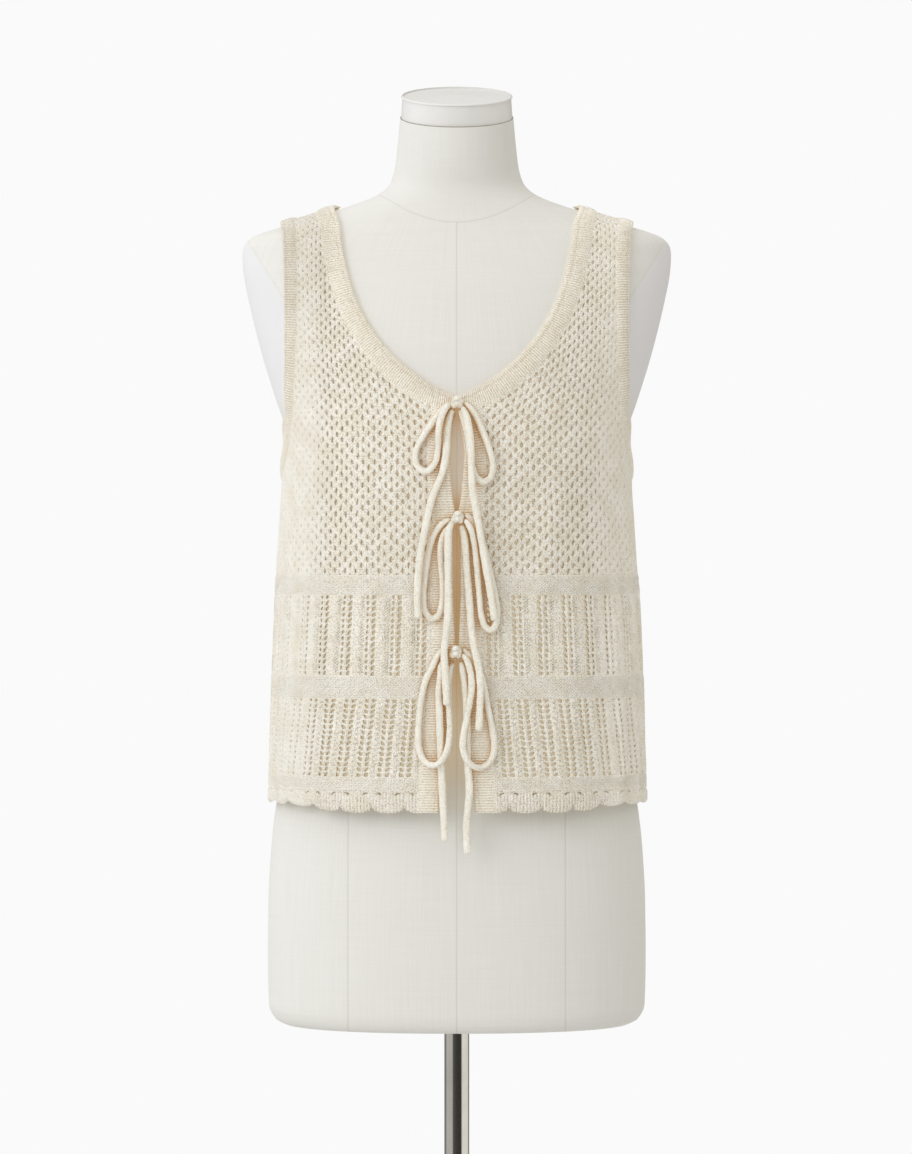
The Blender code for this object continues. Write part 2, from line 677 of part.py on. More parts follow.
def ridge_column(face, strap_across):
    """The stitch column that meets the shoulder ridge at a given X."""
    columns = np.arange(len(face.ridge)) * face.across_step
    over = face.read(columns, face.ridge)[:, 0]
    upper = face.ridge > face.along_at(0.0, SHOULDER_START)
    return float(np.interp(strap_across, over[upper], columns[upper]))


def banded_edge(face, table, strap_across, width, from_side, left):
    """The free edge and the seam edge of a band, both ending on the ridge."""
    free = edge_line(face, table, strap_across, from_side)
    seam = offset_line(free, width, left)
    lean = width if not from_side else -width
    end_column = ridge_column(face, strap_across + lean * RIDGE_SHORTENING)
    seam[-1] = (end_column, face.ridge_at(end_column))
    below = seam[:, 1] < face.ridge_at(seam[:, 0]) - 0.5
    below[-1] = True
    if from_side:
        seam[0] = (face.half_girth, free[0, 1] - width)
        below &= seam[:, 0] <= face.half_girth
        below[0] = True
    return free, seam[below]


class Cut:
    """The seams and edges that the front and back pieces share, as unrolled places on the +X half."""

    def __init__(self, front, back):
        self.front = front
        self.back = back
        neck_free, neck_seam = banded_edge(
            front, FRONT_NECKLINE, STRAP_INNER, NECKBAND_WIDTH, False, False
        )
        arm_free, arm_seam = banded_edge(front, FRONT_ARMHOLE, STRAP_OUTER, ARMBAND_WIDTH, True, True)
        self.lower = np.linspace(0.0, arm_seam[0, 1], LOWER_ROWS + 1)
        self.split_neckband(neck_free, neck_seam)
        self.arm_front_seam = resampled(arm_seam, self.upper_count)
        self.arm_front_free = resampled(arm_free, self.upper_count)
        self.lay_back()

    def split_neckband(self, free, seam):
        """Parts the neckband's seam at the corner where the placket ends."""
        edge_column = FRONT_GAP[-1][1]
        corner_column = edge_column + PLACKET_WIDTH
        seam_edge = np.interp(edge_column, seam[:, 0], seam[:, 1])
        corner_along = np.interp(corner_column, seam[:, 0], seam[:, 1])
        after = seam[:, 0] > corner_column
        panel_seam = np.vstack([[corner_column, corner_along], seam[after]])
        self.placket_top_seam = np.array([
            (column, np.interp(column, seam[:, 0], seam[:, 1]))
            for column in np.linspace(edge_column, corner_column, PLACKET_COLUMNS + 1)
        ])
        self.placket_top_seam[0, 1] = seam_edge
        self.neck_front_seam = resampled(panel_seam, NECK_ROWS + 1)
        self.placket_upper = np.linspace(self.lower[-1], corner_along, PLACKET_UPPER_ROWS + 1)
        self.upper_count = PLACKET_UPPER_ROWS + NECK_ROWS + 1
        whole_seam = np.vstack([self.placket_top_seam[:-1], self.neck_front_seam])
        steps = np.linalg.norm(np.diff(whole_seam, axis=0), axis=1)
        share = np.concatenate([[0.0], np.cumsum(steps)]) / steps.sum()
        steps = np.linalg.norm(np.diff(free, axis=0), axis=1)
        length = np.concatenate([[0.0], np.cumsum(steps)]) / steps.sum()
        self.neckband_front_seam = whole_seam
        self.neckband_front_free = np.stack(
            [np.interp(share, length, free[:, part]) for part in (0, 1)], axis=1
        )

    def lay_back(self):
        back = self.back
        free, seam = banded_edge(back, BACK_NECKLINE, STRAP_INNER, NECKBAND_WIDTH, False, False)
        seam[0, 0] = 0.0
        self.neck_back_free = resampled(free, NECK_ROWS + 1)
        self.neck_back_seam = resampled(seam, NECK_ROWS + 1)
        free, seam = banded_edge(back, BACK_ARMHOLE, STRAP_OUTER, ARMBAND_WIDTH, True, True)
        self.arm_back_free = resampled(free, self.upper_count)
        self.arm_back_seam = resampled(seam, self.upper_count)


def inset(places, across, along):
    """Places moved by a seam's clearance."""
    return places + np.array([across, along])


def panel_columns(count, crowding):
    """Shares from one edge to the other, closer together towards the side seam."""
    even = np.linspace(0, 1, count + 1)
    return 1 - (1 - even) ** crowding


def between(left, right, shares):
    """A grid of places, each row running from a left place to a right place."""
    return left[:, None, :] * (1 - shares[None, :, None]) + right[:, None, :] * shares[None, :, None]


def placket_seam(cut, alongs):
    """Places along the seam between a placket and its panel."""
    face = cut.front
    heights = face.read(np.zeros(len(alongs)), alongs)[:, 2]
    half_gap = table_at(FRONT_GAP, heights)[0]
    return np.stack([half_gap + PLACKET_WIDTH, alongs], axis=1)


def build_front(cut, sign, name, material):
    """One front panel, from its placket seam and the neckband to the side seam and the armband."""
    face = cut.front
    lower_inner = placket_seam(cut, cut.lower)
    lower_outer = np.stack([np.full(len(cut.lower), face.half_girth), cut.lower], axis=1)
    upper_inner = placket_seam(cut, cut.placket_upper)
    upper_inner[-1, 0] = cut.neck_front_seam[0, 0]
    inner = np.vstack([
        inset(lower_inner[:-1], GAP, 0),
        inset(upper_inner[:-1], GAP, 0),
        inset(cut.neck_front_seam, GAP, -GAP),
    ])
    outer = np.vstack([
        inset(lower_outer[:-1], -GAP / 2, 0),
        inset(cut.arm_front_seam, -GAP, -GAP),
    ])
    inner[-1] = inset(cut.neck_front_seam[-1], GAP, -GAP / 2)
    outer[-1] = inset(cut.arm_front_seam[-1], -GAP, -GAP / 2)
    outer[len(cut.lower) - 1] = (face.half_girth - GAP / 2, cut.lower[-1] - GAP)
    places = between(inner, outer, panel_columns(PANEL_COLUMNS, FRONT_CROWDING))
    top = face.ridge_at(places[-1, :, 0]) - GAP / 2
    places[-1, :, 1] = top
    return cloth_wall(name, face, sign * places[..., 0], places[..., 1], WALL, material)


def back_places(cut):
    """Places over the +X half of the back, from its centre to the side seam and the armband."""
    face = cut.back
    centre = np.concatenate([cut.lower[:-1], np.linspace(
        cut.lower[-1], cut.neck_back_seam[0, 1], PLACKET_UPPER_ROWS + 1
    )[:-1]])
    inner = np.vstack([
        np.stack([np.zeros(len(centre)), centre], axis=1),
        inset(cut.neck_back_seam, GAP, -GAP),
    ])
    inner[len(centre), 0] = 0.0
    inner[-1] = inset(cut.neck_back_seam[-1], GAP, -GAP / 2)
    lower_outer = np.stack([np.full(len(cut.lower), face.half_girth - GAP / 2), cut.lower], axis=1)
    outer = np.vstack([lower_outer[:-1], inset(cut.arm_back_seam, -GAP, -GAP)])
    outer[-1] = inset(cut.arm_back_seam[-1], -GAP, -GAP / 2)
    outer[len(cut.lower) - 1] = (face.half_girth - GAP / 2, cut.lower[-1] - GAP)
    half = between(inner, outer, panel_columns(BACK_HALF_COLUMNS, BACK_CROWDING))
    half[-1, :, 1] = face.ridge_at(half[-1, :, 0]) - GAP / 2
    return half


def build_back(cut, material):
    """The back in one piece, its two halves joined below the neckband, with a strap over each shoulder."""
    face = cut.back
    half = back_places(cut)
    mirrored = half[:, ::-1].copy()
    mirrored[..., 0] *= -1
    split = len(cut.lower) - 1 + PLACKET_UPPER_ROWS
    mesh_data = bmesh.new()
    layers = []
    for out in (0.0, WALL):
        right = cloth_points(face, half[..., 0], half[..., 1], out)
        left = cloth_points(face, mirrored[..., 0], mirrored[..., 1], out)
        layers.append(add_back_layer(mesh_data, left, right, split))
    close_back(mesh_data, layers, split)
    return finished_object("back_panel", mesh_data, material)


def add_back_layer(mesh_data, left, right, split):
    """One skin of the back: whole rows up to the neckband, then two straps."""
    rows, columns = right.shape[:2]
    right_verts = []
    left_verts = []
    for row in range(rows):
        on_right = [mesh_data.verts.new(point * METRE) for point in right[row]]
        on_left = [mesh_data.verts.new(point * METRE) for point in left[row, :-1]]
        centre = on_right[0] if row <= split else mesh_data.verts.new(left[row, -1] * METRE)
        right_verts.append(on_right)
        left_verts.append(on_left + [centre])
    for side in (left_verts, right_verts):
        for row in range(rows - 1):
            for column in range(columns - 1):
                corners = (
                    side[row][column],
                    side[row][column + 1],
                    side[row + 1][column + 1],
                    side[row + 1][column],
                )
                mesh_data.faces.new(corners)
    return left_verts, right_verts


def close_back(mesh_data, layers, split):
    """Edge faces between the two skins, round the whole outline of the back."""
    near, far = (outline_of_back(*layer, split) for layer in layers)
    count = len(near)
    for number in range(count):
        after = (number + 1) % count
        mesh_data.faces.new((near[number], near[after], far[after], far[number]))


def outline_of_back(left, right, split):
    rows = len(right)
    hem = left[0] + right[0][1:]
    right_side = [right[row][-1] for row in range(1, rows)]
    right_top = right[-1][-2::-1]
    right_neck = [right[row][0] for row in range(rows - 2, split, -1)]
    centre = [right[split][0]]
    left_neck = [left[row][-1] for row in range(split + 1, rows)]
    left_top = left[-1][-2::-1]
    left_side = [left[row][0] for row in range(rows - 2, 0, -1)]
    return hem + right_side + right_top + right_neck + centre + left_neck + left_top + left_side


def build_placket(cut, sign, name, material):
    """A narrow upright band along one front edge."""
    face = cut.front
    rows = np.concatenate([cut.lower[:-1], cut.placket_upper])
    heights = face.read(np.zeros(len(rows)), rows)[:, 2]
    half_gap = table_at(FRONT_GAP, heights)[0]
    top = cut.placket_top_seam
    half_gap[-1] = top[0, 0]
    shares = np.linspace(0, 1, len(top))
    places = np.zeros((len(rows), len(top), 2))
    places[..., 0] = half_gap[:, None] + PLACKET_WIDTH * shares[None, :]
    places[..., 1] = rows[:, None]
    drop = top[:, 1] - GAP - rows[-1]
    fade = ease_in(rows, cut.lower[-1], rows[-1])
    places[..., 1] += fade[:, None] * drop[None, :]
    return cloth_wall(name, face, sign * places[..., 0], places[..., 1], BAND_WALL, material)


def band_rows(face, free, seam, sign):
    """The two skins of a band: a row of points across it at each place along it."""
    places = between(free, seam, np.linspace(0, 1, BAND_COLUMNS + 1))
    return [
        cloth_points(face, sign * places[..., 0], places[..., 1], out)
        for out in (0.0, BAND_WALL)
    ]


def build_neckband(cut, material):
    """One band round the neck, from placket to placket over both shoulders."""
    on_front = (cut.front, cut.neckband_front_free, cut.neckband_front_seam)
    on_back = (cut.back, cut.neck_back_free, cut.neck_back_seam)
    skins = []
    for skin in (0, 1):
        front_right = band_rows(*on_front, 1)[skin]
        back_right = band_rows(*on_back, 1)[skin][::-1]
        back_left = band_rows(*on_back, -1)[skin]
        front_left = band_rows(*on_front, -1)[skin][::-1]
        skins.append(np.concatenate([front_right, back_right[1:], back_left[1:], front_left[1:]]))
    return wall_between("neckband", *skins, material)


def build_armband(cut, sign, name, material):
    """A closed band round one armhole."""
    skins = []
    for skin in (0, 1):
        front = band_rows(cut.front, cut.arm_front_free, cut.arm_front_seam, sign)[skin]
        back = band_rows(cut.back, cut.arm_back_free, cut.arm_back_seam, sign)[skin][::-1]
        skins.append(np.concatenate([front, back[1:-1]]))
    sections = np.concatenate([skins[0], skins[1][:, ::-1]], axis=1)
    return closed_ring(name, sections, material)


def closed_ring(name, sections, material):
    """A ring body through sections with the same number of corners, the last joined to the first."""
    mesh_data = bmesh.new()
    verts = [[mesh_data.verts.new(point * METRE) for point in section] for section in sections]
    corners = len(verts[0])
    for section, following in zip(verts, verts[1:] + verts[:1]):
        for corner in range(corners):
            after = (corner + 1) % corners
            mesh_data.faces.new(
                (section[corner], section[after], following[after], following[corner])
            )
    return finished_object(name, mesh_data, material)


def outer_fore(face, across, height):
    """How far forward the placket's outer face lies, and how high, at a place near the centre front."""
    return cloth_points(face, across, face.along_at(abs(across), height), BAND_WALL)[1]


def tie_curve(face, route):
    """Close places along a smooth curve through a tie's route."""
    stops = np.array([
        (across, outer_fore(face, across, height) - lift - TIE_CLEARANCE, height + FORM_BASE)
        for across, height, lift in route
    ])
    legs = np.linalg.norm(np.diff(stops, axis=0), axis=1) ** 0.5
    knots = np.concatenate([[0.0], np.cumsum(legs)])
    slopes = np.gradient(stops, knots, axis=0)
    fine = np.linspace(0, knots[-1], TIE_SAMPLES)
    leg = np.clip(np.searchsorted(knots, fine, side="right") - 1, 0, len(legs) - 1)
    size = legs[leg][:, None]
    part = ((fine - knots[leg]) / legs[leg])[:, None]
    return (
        stops[leg] * (2 * part**3 - 3 * part**2 + 1)
        + stops[leg + 1] * (3 * part**2 - 2 * part**3)
        + slopes[leg] * (part**3 - 2 * part**2 + part) * size
        + slopes[leg + 1] * (part**3 - part**2) * size
    )


def outside_knot(curve, radius, centre):
    """Cuts back the ends of a tie that would run into its knot."""
    along = np.gradient(curve, axis=0)
    along /= np.linalg.norm(along, axis=1, keepdims=True)
    beside = np.cross(along, (0.0, -1.0, 0.0))
    beside /= np.linalg.norm(beside, axis=1, keepdims=True)
    ahead = np.cross(along, beside)
    size = np.array([KNOT_HALF_WIDTH, KNOT_HALF_DEPTH, KNOT_HALF_HEIGHT]) + KNOT_CLEARANCE
    clear = np.ones(len(curve), bool)
    for turn in np.arange(RIM_PLACES) * 2 * math.pi / RIM_PLACES:
        rim = curve + radius * (beside * math.cos(turn) + ahead * math.sin(turn))
        clear &= np.linalg.norm((rim - centre) / size, axis=1) > 1.0
    clear &= np.linalg.norm((curve - centre) / size, axis=1) > 1.0
    kept = np.flatnonzero(clear)
    return curve[kept[0] : kept[-1] + 1]


def evenly_spaced(curve, step):
    """Points evenly along a curve."""
    lengths = np.linalg.norm(np.diff(curve, axis=0), axis=1)
    travel = np.concatenate([[0.0], np.cumsum(lengths)])
    count = round(travel[-1] / step) + 1
    at = np.linspace(0, travel[-1], count)
    return np.stack([np.interp(at, travel, curve[:, part]) for part in range(3)], axis=1)


def build_tie(name, face, route, radius, knot, material):
    """A round cord with flat ends, which stops short of its knot."""
    curve = outside_knot(tie_curve(face, route), radius, knot_centre(face, knot))
    points = evenly_spaced(curve, TIE_STEP)
    curve = bpy.data.curves.new(name, "CURVE")
    curve.dimensions = "3D"
    curve.bevel_depth = radius * METRE
    curve.bevel_resolution = 2
    curve.use_fill_caps = True
    spline = curve.splines.new("POLY")
    spline.points.add(len(points) - 1)
    for spline_point, point in zip(spline.points, points):
        spline_point.co = (*(point * METRE), 1)
    curve.materials.append(material)
    tie = bpy.data.objects.new(name, curve)
    bpy.context.scene.collection.objects.link(tie)
    return tie


def knot_centre(face, knot):
    across, height = KNOTS[knot]
    return np.array([across, outer_fore(face, across, height) - KNOT_LIFT, height + FORM_BASE])


def build_knot(name, face, knot, material):
    """The pulled-tight middle of a bow, a rounded lump against the plackets."""
    centre = knot_centre(face, knot)
    turn = np.arange(KNOT_SIDES) * 2 * math.pi / KNOT_SIDES
    rings = []
    for level in np.linspace(-KNOT_END, KNOT_END, KNOT_LEVELS):
        reach = math.cos(level) ** KNOT_FULLNESS
        ring = np.stack([
            KNOT_HALF_WIDTH * reach * np.sin(turn),
            -KNOT_HALF_DEPTH * reach * np.cos(turn),
            np.full(KNOT_SIDES, KNOT_HALF_HEIGHT * math.sin(level)),
        ], axis=1)
        rings.append(centre + ring)
    return lofted(name, rings, material)


def main():
    for old in list(bpy.data.objects):
        bpy.data.objects.remove(old)
    knit = plain_material("knit_cotton", (0.78, 0.71, 0.60), 0.9, 0.0)
    tie_knit = plain_material("tie_cord", (0.82, 0.77, 0.67), 0.9, 0.0)
    linen = plain_material("form_linen", (0.80, 0.79, 0.76), 0.85, 0.0)
    satin = plain_material("cap_satin_paint", (0.80, 0.80, 0.78), 0.35, 0.0)
    steel = plain_material("polished_steel", (0.60, 0.59, 0.57), 0.25, 1.0)
    front = ClothFace(True)
    back = ClothFace(False)
    cut = Cut(front, back)
    build_base(steel)
    build_pole(steel)
    build_form(linen)
    build_neck_cap(satin)
    build_front(cut, -1, "front_left", knit)
    build_front(cut, 1, "front_right", knit)
    build_back(cut, knit)
    build_placket(cut, -1, "placket_left", knit)
    build_placket(cut, 1, "placket_right", knit)
    build_neckband(cut, knit)
    build_armband(cut, -1, "armband_left", knit)
    build_armband(cut, 1, "armband_right", knit)
    for knot in KNOTS:
        build_knot(f"knot_{knot}", front, knot, tie_knit)
        for side in ("left", "right"):
            loop = f"tie_{knot}_{side}_loop"
            tail = f"tie_{knot}_{side}_tail"
            build_tie(loop, front, LOOP_ROUTES[loop], LOOP_RADIUS, knot, tie_knit)
            build_tie(tail, front, TAIL_ROUTES[tail], TAIL_RADIUS, knot, tie_knit)


main()
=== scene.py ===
"""Finish of a knitted lace vest top, tied in front with three bows, on its dress form and stand.

The cloth is worked out on a chart: across from the centre line and along from the hem, in
millimetres. Each knitted piece is stitched together on the chart and then laid over the form.
"""

import math

import bpy
import numpy as np
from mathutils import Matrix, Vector


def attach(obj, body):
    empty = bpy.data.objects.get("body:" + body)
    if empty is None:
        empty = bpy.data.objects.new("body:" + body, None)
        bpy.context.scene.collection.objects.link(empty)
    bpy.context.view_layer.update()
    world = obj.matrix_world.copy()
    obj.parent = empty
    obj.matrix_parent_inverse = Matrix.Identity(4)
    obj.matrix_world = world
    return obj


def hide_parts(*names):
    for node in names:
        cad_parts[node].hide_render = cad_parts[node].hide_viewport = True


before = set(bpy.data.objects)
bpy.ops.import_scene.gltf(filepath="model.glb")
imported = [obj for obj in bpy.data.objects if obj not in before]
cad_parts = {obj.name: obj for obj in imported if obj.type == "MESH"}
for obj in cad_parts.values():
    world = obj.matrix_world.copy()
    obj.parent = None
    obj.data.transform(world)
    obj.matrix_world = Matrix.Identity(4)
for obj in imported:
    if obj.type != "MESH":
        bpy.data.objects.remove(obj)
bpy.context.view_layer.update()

METRE = 0.001
FORM_BASE = 500.0

# Stand, the bores it goes into, and neck cap
BASE_RADIUS = 170.0
BASE_THICKNESS = 9.0
HUB_RADIUS = 20.0
HUB_HEIGHT = 34.0
POLE_RADIUS = 11.2
BORE_DEPTH = 60.0
BORE_SHOWN = 30.0
HUB_FLOOR = 4.0
FIT = 0.3
RIM_ROUND = 2.0
HUB_ROUND = 1.5
NECK_TILT = math.radians(15.8)
CAP_RADIUS = 50.0
CAP_THICKNESS = 20.0
CAP_ROUND = 1.4
CAP_GAP = 0.05

# Bust of the form
BUST_RISE = 8.0
BUST_ACROSS = 62.0
BUST_HEIGHT = 480.0
BUST_HALF_WIDTH = 36.0
BUST_HALF_HEIGHT = 46.0

# Garment
HEM = 195.0
UNDERARM = 501.0
STRAP_INNER = 105.5
STRAP_OUTER = 155.0
CLOTH_EASE = 1.3
CLOTH_LIFT = 1.4
PLACKET_WIDTH = 18.0
NECKBAND_WIDTH = 17.0
ARMBAND_WIDTH = 12.5
BAND_WALL = 3.0
RIDGE_SHORTENING = 0.955
LEAD_IN = 40.0
FOLD_FADE_IN = 50.0
FOLD_FADE_OUT = 90.0
SIDE_FADE = 14.0

# Ties
LOOP_RADIUS = 2.8
TAIL_RADIUS = 3.2
TIE_CLEARANCE = 0.45
TIE_LIFT = 3.4
KNOT_LIFT = 6.6

# height, half_width, front, back, side, squareness, lean
FORM_RINGS = (
    (0.0, 155.0, -98.0, 104.0, 4.0, 2.25, 0.0),
    (4.0, 163.0, -103.5, 110.0, 4.0, 2.28, 0.0),
    (16.0, 169.0, -107.0, 115.0, 4.0, 2.30, 0.0),
    (60.0, 170.0, -108.0, 118.0, 4.0, 2.30, 0.0),
    (110.0, 169.5, -107.0, 119.0, 4.0, 2.30, 0.0),
    (150.0, 167.5, -104.0, 116.0, 4.0, 2.30, 0.0),
    (190.0, 163.5, -100.0, 109.0, 4.0, 2.28, 0.0),
    (230.0, 154.0, -94.0, 98.0, 3.0, 2.25, 0.0),
    (280.0, 133.0, -88.0, 80.0, 1.0, 2.20, 0.0),
    (326.0, 121.0, -87.0, 72.0, 0.0, 2.15, 0.0),
    (380.0, 129.0, -97.0, 77.0, 0.0, 2.15, 0.0),
    (430.0, 139.0, -109.0, 88.0, 0.0, 2.20, 0.0),
    (488.0, 147.0, -117.0, 97.0, 0.0, 2.25, 0.0),
    (524.0, 151.0, -115.0, 101.5, 0.0, 2.25, 0.0),
    (558.0, 162.0, -110.5, 104.0, 1.0, 2.20, 0.0),
    (598.0, 174.5, -104.0, 103.5, 2.0, 2.15, 0.0),
    (650.0, 187.5, -88.0, 95.0, 4.0, 2.10, 0.0),
    (676.0, 192.3, -76.5, 89.0, 5.0, 2.10, 0.0),
    (690.0, 193.2, -70.0, 85.0, 6.0, 2.05, 0.0),
    (698.0, 192.0, -66.0, 82.5, 6.0, 2.05, 0.0),
    (704.0, 187.5, -63.0, 80.5, 6.0, 2.00, 0.0),
    (708.5, 180.0, -61.0, 79.0, 6.5, 2.00, 0.0),
    (715.6, 158.0, -57.5, 76.0, 7.0, 2.00, 0.0),
    (722.5, 135.0, -55.0, 73.0, 7.0, 2.00, 0.0),
    (731.0, 107.5, -52.5, 69.0, 7.0, 2.00, 0.0),
    (738.0, 86.0, -51.0, 66.0, 6.0, 2.00, 0.0),
    (743.0, 74.0, -50.5, 64.0, 5.0, 2.00, 0.0),
    (748.0, 66.0, -50.5, 62.0, 3.0, 2.00, 0.02),
    (755.0, 60.0, -51.5, 59.5, 2.0, 2.00, 0.05),
    (768.0, 55.8, -54.5, 55.0, 0.0, 2.00, 0.11),
    (790.0, 53.0, -58.0, 49.0, -4.5, 2.00, 0.20),
    (813.0, 50.8, -60.0, 41.5, -9.5, 2.00, 0.283),
)

# height, half_width, front, back, side, squareness
HANGING_RINGS = (
    (190.0, 167.2, -117.5, 126.0, 4.0, 2.35),
    (250.0, 166.2, -118.5, 125.0, 4.0, 2.35),
    (330.0, 163.5, -120.0, 121.0, 3.0, 2.35),
    (400.0, 160.5, -122.0, 115.0, 1.5, 2.35),
    (450.0, 157.5, -124.5, 110.5, 0.5, 2.35),
    (488.0, 155.3, -126.0, 108.0, 0.0, 2.35),
    (515.0, 155.3, -123.5, 106.5, 0.0, 2.32),
    (540.0, 159.5, -117.0, 106.5, 0.5, 2.25),
)
HANGING_TOP = 535.0
RESTING_BOTTOM = 563.0

# height, half_gap
FRONT_GAP = (
    (190.0, 16.0), (223.0, 13.5), (254.0, 10.0), (276.0, 8.0), (302.0, 5.5), (336.0, 2.2),
    (362.0, 3.2), (394.0, 4.2), (430.0, 4.2), (452.0, 2.0), (474.0, 4.8), (508.0, 7.3),
    (535.0, 4.6), (560.0, 1.8),
)

# height, across
FRONT_NECKLINE = (
    (557.0, 1.8), (560.5, 9.0), (567.5, 22.0), (577.0, 36.0), (588.0, 49.5), (602.0, 63.0),
    (618.0, 74.7), (642.0, 87.5), (668.0, 96.2), (692.0, 101.5), (712.0, 104.3),
)
BACK_NECKLINE = (
    (687.0, 0.0), (687.6, 18.0), (690.5, 38.0), (697.0, 60.0), (707.0, 80.0), (718.0, 94.0),
)
FRONT_ARMHOLE = (
    (503.5, 154.6), (509.0, 153.4), (520.0, 151.8), (538.0, 151.0), (560.0, 151.0), (600.0, 151.0),
    (645.0, 151.5), (680.0, 152.5), (703.0, 154.0),
)
BACK_ARMHOLE = (
    (503.5, 155.0), (509.0, 154.6), (520.0, 154.2), (538.0, 155.5), (560.0, 157.0), (600.0, 158.0),
    (645.0, 158.0), (680.0, 157.0), (703.0, 156.0),
)

# across, slant, half_width, rise, bottom, top
FRONT_FOLDS = (
    (150.0, 0.02, 10.0, 3.0, -60.0, 235.0),
    (176.0, 0.00, 8.5, 3.6, -60.0, 285.0),
    (198.0, -0.01, 8.0, 3.0, -60.0, 260.0),
    (34.0, 0.20, 13.0, 2.4, 120.0, 330.0),
    (92.0, 0.05, 16.0, 1.6, -60.0, 250.0),
    (-30.0, -0.22, 14.0, 1.8, 110.0, 320.0),
    (-104.0, -0.04, 17.0, 1.8, -60.0, 240.0),
    (-158.0, 0.00, 12.0, 2.6, -60.0, 270.0),
    (-192.0, 0.02, 9.0, 2.4, -60.0, 230.0),
)
BACK_FOLDS = (
    (-168.0, 0.03, 12.0, 3.2, -60.0, 280.0),
    (-118.0, 0.04, 15.0, 2.6, -60.0, 235.0),
    (-46.0, 0.02, 18.0, 2.2, -60.0, 210.0),
    (28.0, -0.03, 16.0, 2.8, -60.0, 250.0),
    (96.0, -0.04, 17.0, 2.2, -60.0, 225.0),
    (160.0, -0.02, 11.0, 3.4, -60.0, 290.0),
)

# knot: across, height
KNOTS = {
    "top": (0.0, 553.0),
    "middle": (0.8, 452.6),
    "bottom": (-1.0, 335.6),
}

# across, height and, where a tie lies over something, its lift above the cloth
LOOP_ROUTES = {
    "tie_top_left_loop": (
        (-6.1, 551.6), (-10.4, 546.4, 10.3), (-14.3, 536.9, 10.3), (-16.1, 524.7, 10.3),
        (-16.5, 510.8), (-19.1, 499.5), (-26.1, 492.6), (-33.0, 495.2), (-36.2, 503.9),
        (-33.9, 514.3), (-27.8, 524.7), (-21.3, 534.2), (-14.3, 543.8), (-6.9, 552.1),
    ),
    "tie_top_right_loop": (
        (2.6, 546.0), (6.3, 536.9), (9.4, 523.0), (11.3, 509.1), (13.3, 496.0), (16.9, 487.4),
        (22.6, 483.4), (28.7, 486.5), (31.3, 495.2), (30.0, 505.6), (26.1, 517.7), (21.3, 529.9),
        (16.1, 541.2), (10.9, 548.6), (6.9, 552.5),
    ),
    "tie_middle_left_loop": (
        (-5.6, 450.9), (-12.2, 447.0), (-18.2, 439.6), (-22.6, 429.2), (-25.6, 415.3),
        (-27.9, 399.6), (-29.1, 383.1), (-27.4, 371.0), (-22.1, 364.5), (-16.5, 366.6),
        (-13.2, 375.3), (-12.3, 389.2), (-13.2, 404.0), (-14.3, 418.7), (-13.5, 430.9),
        (-9.6, 440.5), (-4.3, 446.1),
    ),
    "tie_middle_right_loop": (
        (7.2, 450.4, 10.3), (11.7, 443.1, 10.3), (15.0, 431.8, 6.8), (16.9, 417.0), (18.4, 399.6),
        (19.8, 382.3), (21.3, 367.5), (24.9, 357.1), (30.0, 354.6), (34.3, 360.5), (35.2, 371.8),
        (33.0, 385.7), (29.5, 401.4), (25.9, 417.0), (22.0, 431.8), (17.4, 443.1), (12.6, 450.4),
        (7.4, 454.8),
    ),
    "tie_bottom_left_loop": (
        (-8.0, 340.2, 3.6), (-15.0, 334.2, 3.6), (-20.8, 323.2), (-26.5, 311.9), (-30.0, 298.9),
        (-32.1, 284.1), (-33.4, 268.5), (-33.3, 254.6), (-30.6, 244.2), (-24.8, 237.7, 6.8),
        (-17.8, 237.2, 10.3), (-11.3, 243.3, 10.3), (-7.4, 253.7, 6.8), (-6.0, 265.9),
        (-6.5, 281.5), (-7.2, 296.3), (-7.2, 309.3), (-6.0, 318.5), (-3.2, 325.6),
    ),
    "tie_bottom_right_loop": (
        (5.2, 333.6, 10.3), (9.3, 326.7, 10.3), (12.2, 316.3, 10.3), (12.9, 303.2, 10.3),
        (11.1, 290.2, 10.3), (8.1, 275.4, 10.3), (5.5, 260.7, 10.3), (5.6, 249.4, 10.3),
        (9.6, 240.3, 10.3), (16.5, 235.1, 6.8), (23.9, 235.5), (30.0, 241.6), (32.8, 252.4),
        (31.5, 265.0), (28.7, 278.9), (25.9, 292.8), (23.2, 306.7), (19.1, 319.3), (13.0, 329.7),
        (5.6, 337.5),
    ),
}
